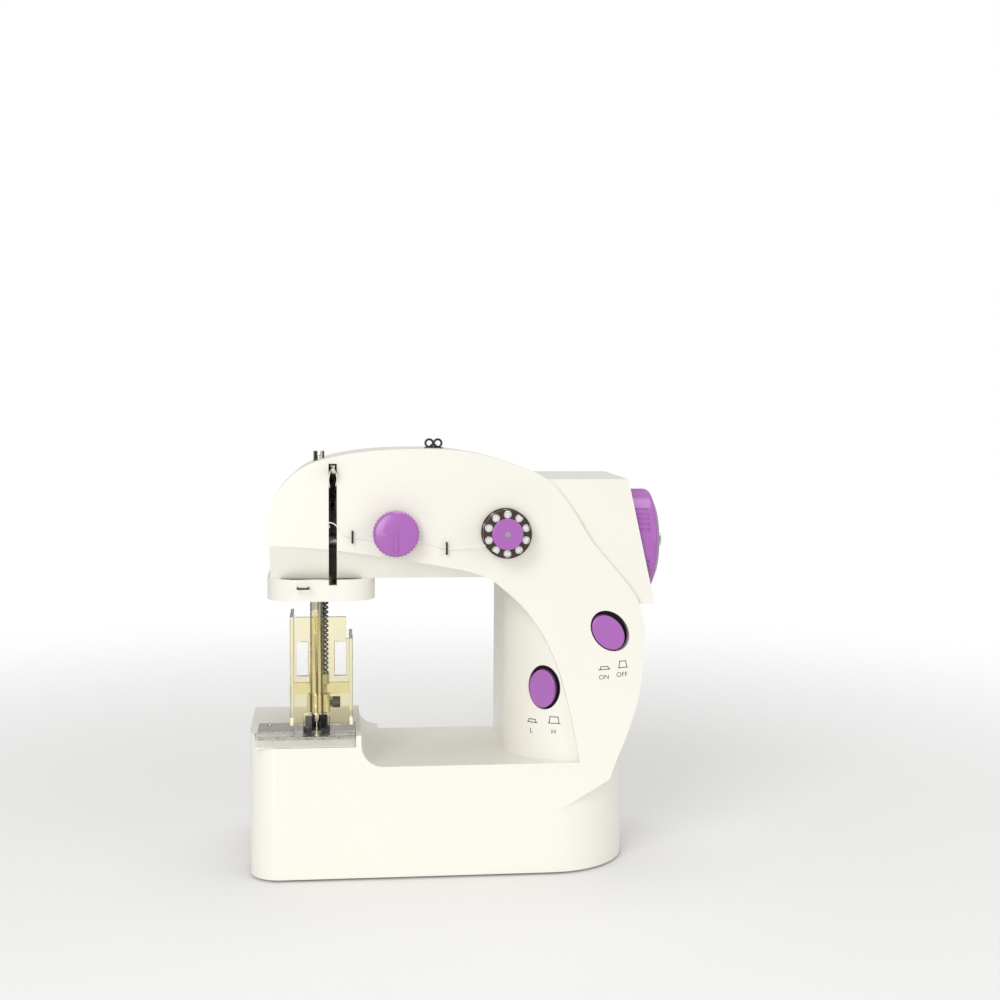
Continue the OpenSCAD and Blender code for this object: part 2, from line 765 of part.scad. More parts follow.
// Platform: plate, cover, feed
feed_rows = [-1, 1];
feed_pitch = 4.3;
feed_row_w = 2.4;
feed_row_l = 9;
feed_travel = 1.2;
feed_gap = 0.4;
module needle_plate() {
  half = feed_row_l / 2 + feed_travel + feed_gap;
  color("silver") difference() {
    box([plate_x + clear / 2, plate_front_y + clear / 2, platform_z - plate_t],
      [plate_x + plate_l - clear / 2, plate_back_y - clear / 2, platform_z]);
    rod_z(needle_x, needle_y, needle_d, bed_z, arm_top_z);
    for (s = feed_rows)
      box([needle_x + s * feed_pitch - feed_row_w / 2 - feed_gap, needle_y - half + feed_travel, bed_z],
        [needle_x + s * feed_pitch + feed_row_w / 2 + feed_gap, needle_y + half + feed_travel, arm_top_z]);
    for (x = [plate_x + 3 * plate_t, plate_x + plate_l - 3 * plate_t])
      rod_z(x, plate_back_y - 3 * plate_t, screw_d / 2, platform_z - plate_t / 2, arm_top_z);
  }
}
module bobbin_cover() {
  left = left_x + wall + clear;
  right = plate_x + plate_l - clear;
  color("lightgray", 0.5) {
    box([left, panel_y, platform_z - cover_t], [right, plate_front_y - clear / 2, platform_z]);
    box([left, panel_y, platform_z - lip_h], [right, panel_y + cover_t, platform_z - cover_t]);
  }
}
cam_w = 4;
feed_cam_r = 5.5;
feed_cam_run = 9.2;
feed_cam_x = needle_x + feed_cam_run;
feed_rod_r = 2;
feed_rod_x = feed_cam_x + cam_w / 2;
feed_slot = feed_cam_r + 2 * feed_travel + clear;
feed_drop = 1.7;
feed_rod_drop = 4.2;
feed_top_z = platform_z - plate_t - feed_drop;
feed_rod_z = feed_top_z - feed_rod_drop;
module feed_cam() {
  color("dimgray") difference() {
    rod_x(lower_y + feed_travel, lower_z, feed_cam_r, feed_cam_x, feed_cam_x + cam_w);
    rod_x(lower_y, lower_z, shaft_r, feed_cam_x - overrun, feed_cam_x + cam_w + overrun);
  }
}
module feed_dog() {
  plate_h = 2.2;
  fork_w = 2.8;
  half = feed_slot + fork_w;
  fork_low_z = lower_z - feed_cam_r - feed_travel;
  fork_top_z = feed_rod_z - feed_rod_r - fork_w / 2;
  rod_side = feed_rod_r + fork_w / 2;
  row_front = needle_y + feed_travel - feed_row_l / 2;
  color("silver") difference() {
    union() {
      box([needle_x - feed_pitch - feed_row_w, row_front - plate_h / 2, feed_top_z - plate_h],
        [feed_rod_x + rod_side, row_front + feed_row_l + plate_h / 2, feed_top_z]);
      box([feed_rod_x - rod_side, lower_y - half, fork_top_z], [feed_rod_x + rod_side, lower_y + half, feed_top_z]);
      box([feed_cam_x, lower_y - half, fork_low_z], [feed_cam_x + cam_w, lower_y + half, fork_top_z]);
      for (s = feed_rows)
        prism_x(needle_x + s * feed_pitch - feed_row_w / 2, needle_x + s * feed_pitch + feed_row_w / 2)
          polygon(concat(
            [[row_front, feed_top_z - plate_h / 2]],
            [for (i = [0 : 5]) for (tip = [0, 1])
              [row_front + (i + tip) * feed_row_l / 6, platform_z + (tip == 1 ? 0.1 : -0.35) * feed_row_w]],
            [[row_front + feed_row_l, feed_top_z - plate_h / 2]]));
    }
    box([feed_cam_x - overrun, lower_y - feed_slot, fork_low_z - overrun],
      [feed_cam_x + cam_w + overrun, lower_y + feed_slot, fork_top_z - plate_h / 2]);
    rod_y(feed_rod_x, feed_rod_z, feed_rod_r + run_clear, front_y, back_y);
    rod_z(needle_x, needle_y, feed_travel + needle_d + feed_gap, bed_z, platform_z);
  }
}
take_up_back = 16;
take_up_rise = 17;
take_up_y = shaft_y + take_up_back;
take_up_z = shaft_z + take_up_rise;
take_up_pin_r = 2;
ear_t = 1.8;
lever_t = 1.8;
frame_t = 3;
frame_rise = 22;
frame_y = take_up_y + 2 * frame_t;
frame_low_z = shaft_z - frame_t / 3;
frame_top_z = shaft_z + frame_rise;
frame_left_x = yoke_rod_x - 1.4 * yoke_rod_r;
module guide_rods() {
  color("silver") {
    rod_y(feed_rod_x, feed_rod_z, feed_rod_r, panel_y + wall, platform_back_y - wall);
    rod_z(yoke_rod_x, yoke_rod_y, yoke_rod_r, head_low_z + wall / 2, frame_top_z);
    rod_x(take_up_y, take_up_z, take_up_pin_r, slot_x - lever_t / 2 - clear - ear_t,
      slot_x + lever_t / 2 + clear + ear_t);
  }
}

// Frame in the arm, shafts, crank and wheel
bush_r = 5;
bush_l = 6;
left_bush_run = 10.5;
right_bush_run = 22;
left_bush_x = slot_x + left_bush_run;
right_bush_x = pillar_x + right_bush_run;
frame_right_x = right_bush_x + bush_l;
ear_half = 8;
module arm_frame() {
  boss_xs = [(left_bush_x + right_bush_x) / 2 - 2 * ear_half, right_bush_x - ear_half];
  color("slategray") difference() {
    union() {
      box([frame_left_x, frame_y, frame_low_z], [frame_right_x, frame_y + frame_t, frame_top_z]);
      for (x = [left_bush_x, right_bush_x])
        box([x, shaft_y - ear_half, shaft_z - ear_half], [x + bush_l, frame_y + frame_t, shaft_z + ear_half]);
      for (s = [-1, 1])
        let (x = slot_x + s * (lever_t / 2 + clear + ear_t / 2))
        box([x - ear_t / 2, take_up_y - 2 * take_up_pin_r, take_up_z - 2 * take_up_pin_r],
          [x + ear_t / 2, frame_y + frame_t, take_up_z + 2 * take_up_pin_r]);
      box([frame_left_x, yoke_rod_y - 2 * yoke_rod_r, frame_top_z - frame_t],
        [yoke_rod_x + 2 * yoke_rod_r, frame_y + frame_t, frame_top_z]);
      for (x = boss_xs) rod_y(x, frame_top_z - ear_half, boss_d / 2, frame_y, arm_back_y - wall);
    }
    for (x = [left_bush_x, right_bush_x]) rod_x(shaft_y, shaft_z, bush_r, x - overrun, x + bush_l + overrun);
    rod_x(take_up_y, take_up_z, take_up_pin_r, slot_x - 3 * ear_t, slot_x + 3 * ear_t);
    rod_z(yoke_rod_x, yoke_rod_y, yoke_rod_r, shaft_z, frame_top_z + overrun);
    box([slot_x - lever_t / 2 - clear, shaft_y, take_up_z - 3 * take_up_pin_r],
      [slot_x + lever_t / 2 + clear, frame_y - overrun / 2, take_up_z + 3 * take_up_pin_r]);
    rod_y(screw_places[1][0], screw_places[1][1], boss_d / 2 + clear, front_y, back_y);
  }
}
module shaft_bushes() {
  color("peru") for (x = [left_bush_x, right_bush_x])
    tube_x(shaft_y, shaft_z, bush_r, shaft_r + run_clear, x - clear, x + bush_l + clear);
}
module upper_shaft() {
  color("silver") difference() {
    rod_x(shaft_y, shaft_z, shaft_r, crank_x + crank_t, right_x);
    rod_x(shaft_y, shaft_z, shaft_r / 3, right_x - shaft_show, right_x + overrun);
  }
}
module crank_disc() {
  color("dimgray") {
    rod_x(shaft_y, shaft_z, crank_r + pin_r, crank_x, crank_x + crank_t);
    rod_x(shaft_y, shaft_z - crank_r, pin_r, crank_x - pin_l, crank_x);
  }
}
groove_groups = 6;
grooves = 5;
groove_step = 6;
groove_r = 0.8;
module handwheel() {
  rim_edge = 2.4;
  web_r = 0.72 * wheel_r;
  hub_r = 2 * shaft_r;
  color("mediumorchid") translate([wheel_in_x, shaft_y, shaft_z]) rotate([0, 90, 0]) difference() {
    rotate_extrude() polygon(concat(
      [[shaft_r, 0], [hub_r, 0], [hub_r, wheel_w - 2 * rim_edge], [web_r, wheel_w - 2 * rim_edge], [web_r, 0],
        [wheel_r - rim_edge / 4, 0], [wheel_r, rim_edge / 2]],
      arc([wheel_r - rim_edge, wheel_w - rim_edge], rim_edge, 0, 80),
      [for (i = [1 : 5]) let (r = (wheel_r - rim_edge) * (1 - i / 6))
        [r, wheel_w + wheel_crown * (1 - r * r / (wheel_r * wheel_r))]],
      [[shaft_r, wheel_w + wheel_crown]]));
    for (g = [0 : groove_groups - 1]) for (k = [0 : grooves - 1])
      rotate([0, 0, 360 * (g + 0.5) / groove_groups + (k - (grooves - 1) / 2) * groove_step])
        translate([wheel_r + groove_r / 3, 0, -overrun])
          cylinder(r = groove_r, h = wheel_w + overrun - 1.6 * rim_edge, $fn = 24);
  }
}
belt_w = 5;
belt_t = 1.3;
pulley_w = 6;
belt_gap = 0.15;
timing_x = right_bush_x + bush_l + overrun;
drive_x = pocket_x - wall - clear - pulley_w;
motor_y = pillar_back_y - wall - 1.3 * motor_r;
motor_z = (bed_z + throat_z) / 2;
motor_pulley_r = 6;
motor_shaft_r = 1.2;
bracket_t = 2;
module pulley(y, z, r, bore_r, x) {
  tube_x(y, z, r, bore_r, x, x + pulley_w);
}
module shaft_pulleys() {
  color("dimgray") {
    pulley(shaft_y, shaft_z, pulley_r, shaft_r, timing_x);
    pulley(shaft_y, shaft_z, drive_r, shaft_r, drive_x);
  }
}
function belt_path(a, ra, b, rb) = let (
  along = b - a,
  turn = atan2(along[1], along[0]),
  wrap = acos((ra - rb) / norm(along)))
  concat(arc(a, ra, turn + wrap, turn + 360 - wrap), arc(b, rb, turn - wrap, turn + wrap));
module belt(a, ra, b, rb, x) {
  prism_x(x + (pulley_w - belt_w) / 2, x + (pulley_w + belt_w) / 2) difference() {
    polygon(belt_path(a, ra + belt_gap + belt_t, b, rb + belt_gap + belt_t));
    polygon(belt_path(a, ra + belt_gap, b, rb + belt_gap));
  }
}
module timing_belt() {
  color("black") belt([shaft_y, shaft_z], pulley_r, [lower_y, lower_z], pulley_r, timing_x);
}
module drive_belt() {
  color("black") belt([shaft_y, shaft_z], drive_r, [motor_y, motor_z], motor_pulley_r, drive_x);
}
hook_wall = 1.4;
hook_floor = 2;
hook_x = needle_x - needle_d;
hook_l = bobbin_w + hook_floor + 2 * clear;
post_t = 5;
post_half = 4;
post_xs = [feed_cam_x + cam_w + post_half, timing_x - post_t - overrun];
module lower_shaft() {
  color("silver") rod_x(lower_y, lower_z, shaft_r, hook_x, timing_x + pulley_w + overrun);
}
module lower_pulley() {
  color("dimgray") pulley(lower_y, lower_z, pulley_r, shaft_r, timing_x);
}
module lower_bearings() {
  color("slategray") for (x = post_xs) difference() {
    box([x, lower_y - 2 * post_half, plate_z], [x + post_t, lower_y + 2 * post_half, lower_z + post_half]);
    rod_x(lower_y, lower_z, shaft_r + run_clear, x - overrun, x + post_t + overrun);
  }
}
module hook() {
  notch = 6;
  color("silver") difference() {
    union() {
      rod_x(lower_y, lower_z, hook_r, hook_x - hook_l, hook_x);
      rod_x(lower_y, lower_z, shaft_r + overrun, hook_x, hook_x + 4 * overrun);
    }
    rod_x(lower_y, lower_z, hook_r - hook_wall, hook_x - hook_l - overrun, hook_x - hook_floor);
    rod_x(lower_y, lower_z, shaft_r, hook_x, hook_x + 5 * overrun);
    box([hook_x - hook_l / 2, lower_y + notch / 2, lower_z + hook_r / 2],
      [hook_x + overrun, lower_y + notch / 2 + notch, lower_z + hook_r + overrun]);
  }
  color("silver") rod_x(lower_y, lower_z, spindle_r, hook_x - hook_l, hook_x - hook_floor);
}
flange_t = 1;
core_r = 4.2;
bobbin_holes = 10;
hole_share = 0.8;
module bobbin_body() {
  hole_r = 0.16 * bobbin_d / 2;
  difference() {
    rotate_extrude() polygon([
      [spindle_r + run_clear, 0], [bobbin_d / 2, 0], [bobbin_d / 2, flange_t], [core_r, flange_t],
      [core_r, bobbin_w - flange_t], [bobbin_d / 2, bobbin_w - flange_t], [bobbin_d / 2, bobbin_w],
      [spindle_r + run_clear, bobbin_w]]);
    for (i = [0 : bobbin_holes - 1])
      rotate([0, 0, 360 * (i + 0.5) / bobbin_holes]) translate([hole_share * bobbin_d / 2, 0, -overrun])
        cylinder(r = hole_r, h = bobbin_w + 2 * overrun);
  }
}
module lower_bobbin() {
  color("dimgray") translate([hook_x - hook_l + clear, lower_y, lower_z]) rotate([0, 90, 0]) bobbin_body();
}
bracket_x = drive_x - clear - bracket_t;
module motor() {
  x = bracket_x - motor_l;
  cap_r = motor_r / 2;
  color("silver") difference() {
    union() {
      rod_x(motor_y, motor_z, motor_r, x, x + motor_l);
      rod_x(motor_y, motor_z, cap_r, x - bracket_t, x);
    }
    rod_x(motor_y, motor_z, motor_shaft_r + run_clear, x + motor_l / 2, x + motor_l + overrun);
  }
}
module motor_bracket() {
  x = bracket_x;
  color("gray") difference() {
    box([x, motor_y - motor_r, motor_z - motor_r], [x + bracket_t, pillar_back_y - wall, motor_z + motor_r]);
    rod_x(motor_y, motor_z, motor_r / 3, x - overrun, x + bracket_t + overrun);
  }
}
module motor_pulley() {
  color("dimgray") {
    pulley(motor_y, motor_z, motor_pulley_r, motor_shaft_r, drive_x);
    rod_x(motor_y, motor_z, motor_shaft_r, bracket_x - motor_l / 3, drive_x + pulley_w);
  }
}

// Needle bar and what it carries
bar_low_z = platform_z + needle_bar_up;
pin_low_z = shaft_z - crank_r;
clamp_r = 4.4;
clamp_h = 8;
clamp_block = 3.4;
module needle_bar() {
  color("silver") rod_z(needle_x, needle_y, needle_bar_r, bar_low_z, pin_low_z + arm_half + overrun);
}
module needle_yoke() {
  boss_r = yoke_rod_r + bush_wall;
  slot_half = crank_r + pin_r + slide_clear;
  color("dimgray") difference() {
    union() {
      box([yoke_x, needle_y - arm_side, pin_low_z - yoke_half], [yoke_x + yoke_t, yoke_rod_y, pin_low_z + yoke_half]);
      rod_z(yoke_rod_x, yoke_rod_y, boss_r, pin_low_z - yoke_half, pin_low_z + yoke_half);
      box([yoke_x, needle_y - arm_side, pin_low_z - arm_half],
        [needle_x + needle_bar_r + bush_wall, needle_y + arm_side, pin_low_z + arm_half]);
    }
    box([yoke_x - overrun, shaft_y - slot_half, pin_low_z - pin_r - slide_clear / 2],
      [yoke_x + yoke_t + overrun, shaft_y + slot_half, pin_low_z + pin_r + slide_clear / 2]);
    rod_z(needle_x, needle_y, needle_bar_r, head_low_z, arm_top_z);
    rod_z(yoke_rod_x, yoke_rod_y, yoke_rod_r + run_clear, head_low_z, arm_top_z);
  }
}
module needle_clamp() {
  color("silver") difference() {
    union() {
      rod_z(needle_x, needle_y, clamp_r, bar_low_z, bar_low_z + clamp_h);
      box([needle_x, needle_y - clamp_block, bar_low_z],
        [needle_x + clamp_r + clamp_block / 2, needle_y + clamp_block, bar_low_z + clamp_h]);
    }
    rod_z(needle_x, needle_y, needle_bar_r, bar_low_z - overrun, arm_top_z);
    rod_x(needle_y, bar_low_z + clamp_h / 2, screw_d / 3, needle_x, right_x);
  }
}
module clamp_screw() {
  head_r = 2.6;
  head_l = 3.6;
  x = needle_x + clamp_r + clamp_block / 2;
  z = bar_low_z + clamp_h / 2;
  color("dimgray") {
    rod_x(needle_y, z, screw_d / 3, needle_x + needle_bar_r, x + overrun);
    rod_x(needle_y, z, head_r, x + overrun, x + overrun + head_l);
  }
}
module needle() {
  tip_l = 5;
  color("silver") translate([needle_x, needle_y, bar_low_z - needle_l]) rotate_extrude() polygon([
    [0, 0], [needle_d / 2, tip_l], [needle_d / 2, needle_l / 2], [0.75 * needle_d, 0.6 * needle_l],
    [0.75 * needle_d, needle_l], [0, needle_l]]);
}
module bar_bushes() {
  color("peru") {
    tube_z(needle_x, needle_y, needle_bush_r, needle_bar_r + run_clear, bush_low_z, bush_top_z);
    tube_z(presser_x, presser_y, presser_bush_r, presser_bar_r + run_clear, bush_low_z, bush_top_z);
  }
}

// Presser bar and what it carries
foot_gap = 0.5;
foot_low_z = platform_z + foot_gap;
sole_t = 2.4;
shank_low_z = foot_low_z + sole_t;
shank_h = 10;
shank_half = 3.5;
ring_r = 4.6;
guard_set = 2.5;
guard_rise = 4.5;
guard_low_z = platform_z + guard_rise;
guard_h = head_low_z - presser_lift - guard_gap - guard_low_z;
ring_low_z = shank_low_z + shank_h + clear;
ring_h = 6;
collar_z = ring_low_z + ring_h;
collar_h = 4.6;
presser_low_z = shank_low_z + shank_h / 2;
foot_screw_z = presser_low_z + shank_h / 4;
module presser_bar() {
  slot_d = 2;
  top = slot_top_z + presser_show;
  color("silver") difference() {
    rod_z(presser_x, presser_y, presser_bar_r, presser_low_z, top);
    box([presser_x - presser_bar_r / 4, panel_y, top - slot_d],
      [presser_x + presser_bar_r / 4, seam_y, top + overrun]);
  }
}
module bar_collars() {
  finger_half = 1.5;
  finger_h = 3;
  color("gray") difference() {
    union() {
      rod_z(presser_x, presser_y, presser_side + crank_clear - 2 * clear, block_z, block_z + block_h);
      box([presser_x - finger_half, presser_y, block_z],
        [presser_x + finger_half, arm_back_y - 4 * wall - clear, block_z + finger_h]);
      rod_z(presser_x, presser_y, ring_r, collar_z, collar_z + collar_h);
    }
    rod_z(presser_x, presser_y, presser_bar_r, bed_z, arm_top_z);
  }
}
spring_low_z = collar_z + collar_h;
spring_r = (spring_d - spring_wire_d) / 2;
spring_top_z = bush_low_z;
ring_steps = 8;
function spring_path() = let (
  rise = spring_top_z - spring_low_z - 2 * spring_wire_d,
  coil = [for (i = [0 : spring_curls * ring_steps])
    let (a = 360 * i / ring_steps, z = spring_low_z + spring_wire_d + rise * i / (spring_curls * ring_steps))
    [presser_x + spring_r * cos(a), presser_y + spring_r * sin(a), z]])
  concat([[coil[0][0], coil[0][1], spring_low_z]], coil,
    [[coil[len(coil) - 1][0], coil[len(coil) - 1][1], spring_top_z]]);
function least_gap(path) = min([for (i = [0 : len(path) - 1 - ring_steps])
  norm(path[i + ring_steps] - path[i])]) - spring_wire_d;
echo(presser_spring_gap = least_gap(spring_path()));
module presser_spring() {
  color("dimgray") swept(spring_path(), spring_wire_d / 2, 6, [0, 0, 1]);
}
module presser_foot() {
  gap_half = 2;
  toe_tip = 3;
  color("darkslategray") difference() {
    union() {
      prism_z(foot_low_z, shank_low_z) polygon([
        [needle_x - foot_w / 2, presser_y + shank_half], [needle_x - foot_w / 2, needle_y - toe_l + toe_tip],
        [needle_x - foot_w / 2 + toe_tip / 2, needle_y - toe_l],
        [needle_x + foot_w / 2 - toe_tip / 2, needle_y - toe_l],
        [needle_x + foot_w / 2, needle_y - toe_l + toe_tip], [needle_x + foot_w / 2, presser_y + shank_half]]);
      box([presser_x - shank_half, presser_y - shank_half, shank_low_z],
        [presser_x + shank_half, presser_y + shank_half, shank_low_z + shank_h]);
    }
    box([needle_x - gap_half, front_y, bed_z], [needle_x + gap_half, needle_y + gap_half, shank_low_z + overrun]);
    rod_z(presser_x, presser_y, presser_bar_r, presser_low_z, arm_top_z);
    rod_x(presser_y, foot_screw_z, screw_d / 3, presser_x, right_x);
  }
}
module foot_screw() {
  head_r = 2.4;
  head_l = 3;
  x = presser_x + shank_half + clear;
  color("silver") {
    rod_x(presser_y, foot_screw_z, screw_d / 3, presser_x + presser_bar_r, x);
    rod_x(presser_y, foot_screw_z, head_r, x, x + head_l);
  }
}
module finger_guard() {
  left = needle_x - 0.42 * guard_w;
  right = left + guard_w;
  front = panel_y + guard_set;
  back = presser_y + 0.6 * ring_r;
  top = guard_low_z + guard_h;
  notch = 0.2 * guard_h;
  window_w = 0.18 * guard_w;
  color("khaki", 0.5) difference() {
    union() {
      difference() {
        box([left, front, guard_low_z], [right, back, top]);
        box([left + guard_t, front + guard_t, guard_low_z - overrun],
          [right - guard_t, back + overrun, top + overrun]);
      }
      box([left + guard_t / 2, back - guard_t - clear, ring_low_z],
        [right - guard_t / 2, back - clear, ring_low_z + ring_h]);
      rod_z(presser_x, presser_y, ring_r, ring_low_z, ring_low_z + ring_h);
    }
    rod_z(presser_x, presser_y, presser_bar_r, bed_z, arm_top_z);
    for (x = [left + 2 * guard_t, right - 2 * guard_t - window_w])
      box([x, front - overrun, guard_low_z + 0.46 * guard_h],
        [x + window_w, front + guard_t + overrun, top - 1.15 * notch]);
    box([right - 2 * guard_t, front - overrun, top - notch], [right + overrun, back + overrun, top + overrun]);
    box([needle_x - window_w, front - overrun, guard_low_z - overrun],
      [needle_x + window_w, front + guard_t + overrun, guard_low_z + notch / 2]);
  }
}
module presser_lifter() {
  lever_l = 26;
  lever_w = 6;
  lever_y = arm_back_y + clear;
  grip_t = 4;
  hub_r = 6;
  cam_y = arm_back_y - 4 * wall - 4 * clear;
  color("white") {
    rod_y(presser_x, lifter_z, lifter_shaft_r, cam_y, lever_y);
    rod_y(presser_x, lifter_z, hub_r, lever_y, lever_y + grip_t);
    translate([presser_x - lever_w / 2, lever_y, lifter_z - lever_l]) cube([lever_w, grip_t, lever_l]);
    rod_y(presser_x, lifter_z - lever_l, lever_w / 2, lever_y, lever_y + 2 * grip_t);
  }
  color("white") rod_y(presser_x - cam_throw, lifter_z, cam_r, cam_y - 2 * cam_r / 2, cam_y);
}

// Take-up lever, thread path and front controls
tip_out = 4;
tip_rise = 18;
tip_y = panel_y - tip_out;
tip_z = take_up_z + tip_rise;
module take_up_lever() {
  eye_r = 1;
  arm_w = 5;
  reach = [tip_y - take_up_y, tip_z - take_up_z];
  side = right_of(unit(reach)) * arm_w / 2;
  pivot = [take_up_y, take_up_z];
  from = slot_x - lever_t / 2;
  to = slot_x + lever_t / 2;
  color("silver") difference() {
    union() {
      rod_x(take_up_y, take_up_z, 2 * take_up_pin_r, from, to);
      prism_x(from, to) polygon([pivot + side, pivot - side, pivot + reach - side / 1.6, pivot + reach + side / 1.6]);
      rod_x(tip_y, tip_z, arm_w / 2.4, from, to);
    }
    rod_x(take_up_y, take_up_z, take_up_pin_r + run_clear, from - overrun, to + overrun);
    rod_x(tip_y, tip_z, eye_r, from - overrun, to + overrun);
  }
}
disc_t = 0.7;
disc_r = 0.4 * knob_d;
knob_h = 6;
spring_room = 2.6;
disc_y = panel_y - clear;
knob_back_y = disc_y - 2 * disc_t - clear - spring_room;
module tension_stud() {
  color("silver") {
    rod_y(knob_x, control_z, control_bore_r, knob_back_y - knob_h / 2, panel_y + wall + overrun);
    rod_y(knob_x, control_z, 2 * control_bore_r, panel_y + wall, panel_y + wall + overrun);
  }
}
module tension_discs() {
  color("silver") for (i = [0, 1])
    let (y = disc_y - i * (disc_t + clear))
    tube_y(knob_x, control_z, disc_r, control_bore_r + run_clear, y - disc_t, y);
}
module tension_spring() {
  color("gray") tube_y(knob_x, control_z, 2 * control_bore_r, 1.4 * control_bore_r,
    knob_back_y + clear / 2, disc_y - 2 * disc_t - 1.5 * clear);
}
module tension_knob() {
  teeth = 36;
  tooth_r = 0.5;
  edge = 1.2;
  rib_w = 1.6;
  color("mediumorchid") translate([knob_x, knob_back_y, control_z]) rotate([90, 0, 0]) difference() {
    union() {
      rotate_extrude() polygon([
        [control_bore_r + run_clear, 0], [knob_d / 2, 0], [knob_d / 2, knob_h - 2 * edge],
        [knob_d / 2 - edge, knob_h - edge], [knob_d / 4, knob_h - edge / 2],
        [control_bore_r + run_clear, knob_h - edge / 2]]);
      translate([-rib_w / 2, -knob_d / 2 + 2 * edge, knob_h - 2 * edge])
        cube([rib_w, knob_d / 2 - 4 * edge, 2 * edge]);
    }
    for (i = [0 : teeth - 1]) rotate([0, 0, 360 * i / teeth])
      translate([knob_d / 2 + tooth_r / 3, 0, -overrun]) cylinder(r = tooth_r, h = knob_h - edge + overrun, $fn = 16);
  }
}
wound_r = 0.83 * bobbin_d / 2;
bobbin_back_y = panel_y - clear - flange_t;
bobbin_front_y = bobbin_back_y - bobbin_w;
cap_back_y = bobbin_front_y - clear;
module bobbin_spindle() {
  color("silver") {
    rod_y(bobbin_x, control_z, spindle_r, cap_back_y - clear, panel_y + wall + overrun);
    tube_y(bobbin_x, control_z, 2 * spindle_r, spindle_r, panel_y - flange_t, panel_y);
    tube_y(bobbin_x, control_z, 2 * spindle_r, spindle_r, panel_y + wall, panel_y + wall + overrun);
  }
}
module supply_bobbin() {
  color("saddlebrown") translate([bobbin_x, bobbin_back_y, control_z]) rotate([90, 0, 0]) bobbin_body();
}
module bobbin_thread() {
  color("white") tube_y(bobbin_x, control_z, wound_r, core_r, bobbin_front_y + flange_t, bobbin_back_y - flange_t);
}
module bobbin_cap() {
  eye_r = 1.3;
  edge = 0.4;
  color("mediumorchid") translate([bobbin_x, cap_back_y, control_z]) rotate([90, 0, 0]) rotate_extrude() polygon([
    [spindle_r, 0], [cap_d / 2, 0], [cap_d / 2, cap_back_y - front_y - edge],
    [cap_d / 2 - edge, cap_back_y - front_y], [eye_r, cap_back_y - front_y], [eye_r, clear], [spindle_r, clear]]);
}
module staple(x, z, across) {
  stand = 2;
  y = panel_y - stand;
  half = guide_span / 2;
  translate([x, 0, z]) rotate([0, across, 0]) {
    for (s = [-1, 1]) {
      rod_y(0, s * half, guide_wire_r, y, panel_y + wall);
      translate([0, y, s * half]) sphere(r = guide_wire_r);
    }
    rod_z(0, y, guide_wire_r, -half, half);
  }
}
head_guide_x = needle_x - 1.2 * guide_span;
module wire_guides() {
  color("dimgray") {
    staple(left_guide[0], left_guide[1], 0);
    staple(right_guide[0], right_guide[1], 0);
    translate([0, head_base_set - wall, 0]) staple(head_guide_x, throat_z - head_drop / 3, 90);
  }
}
module top_guide() {
  flange_h = 1.4;
  stem_h = 5.5;
  curl_r = 1.7;
  wire_r = 0.5;
  seat_z = arm_top_z - panel_rim + clear;
  color("dimgray") {
    rod_z(top_guide_x, top_guide_y, top_guide_r, seat_z - 2 * wall, seat_z + stem_h / 2);
    rod_z(top_guide_x, top_guide_y, top_flange_r, seat_z, seat_z + flange_h);
    for (s = [-1, 1])
      translate([top_guide_x + s * (curl_r + wire_r / 2), top_guide_y, seat_z + stem_h - curl_r - wire_r])
        rotate([90, 0, 0]) rotate_extrude() translate([curl_r, 0]) circle(r = wire_r);
  }
}
thread_r = 0.25;
thread_y = panel_y - 4 * thread_r;
module upper_thread() {
  tuck = disc_r * 0.9;
  leave = 215;
  leave_r = wound_r + 2 * thread_r;
  feed = [
    [bobbin_x + leave_r * cos(leave), bobbin_back_y - 2.5 * flange_t, control_z + leave_r * sin(leave)],
    [right_guide[0], thread_y, right_guide[1]],
    [knob_x + disc_r + 4 * thread_r, thread_y, control_z - tuck / 2]];
  lead = [
    [knob_x - disc_r - 4 * thread_r, thread_y, control_z - tuck / 2],
    [left_guide[0], thread_y, left_guide[1]],
    [slot_x + slot_w, thread_y, control_z]];
  color("white") {
    swept(feed, thread_r, 8, [0, 1, 0]);
    swept(lead, thread_r, 8, [0, 1, 0]);
  }
}

// Buttons, switches and sockets
button_gap = 1.4;
button_proud = 0.4;
button_shift = 0.7;
stem_half = 3;
stem_l = 12;
frame_wall = 1.6;
frame_half = stem_half + frame_wall;
module to_power_button() {
  translate([-button_shift, 0, -button_shift]) to_power() children();
}
module to_speed_button() {
  to_speed() translate([-button_shift, 0, -button_shift]) rotate([0, 90, 0]) children();
}
module button(face, skin) {
  button_prism(face - button_proud, face + skin + clear, button_gap);
  box([-stem_half, face + skin, -stem_half], [stem_half, face + skin + stem_l, stem_half]);
}
module switch_frame(face, skin) {
  deep = stem_l + button_travel + 2 * clear;
  start = skin + button_travel + 2 * clear;
  difference() {
    union() {
      box([-frame_half, face + start, -frame_half], [frame_half, face + skin + deep + wall, frame_half]);
      prism_y(face + skin, face + start + wall) polygon(ellipse(button_long + 2 * wall, button_short + 2 * wall));
    }
    button_prism(face, face + start + clear, -clear);
    box([-stem_half - clear, face, -stem_half - clear], [stem_half + clear, face + skin + deep, stem_half + clear]);
  }
}
module power_button() {
  color("mediumorchid") to_power_button() button(0, panel_skin);
}
module speed_button() {
  color("mediumorchid") to_speed_button() button(-pillar_r, wall);
}
module switches() {
  color("dimgray") {
    to_power_button() switch_frame(0, panel_skin);
    intersection() {
      to_speed_button() switch_frame(-pillar_r, wall);
      rod_z(pillar_mid[0], pillar_mid[1], pillar_r - wall - clear / 2, bed_z, arm_top_z);
    }
  }
}
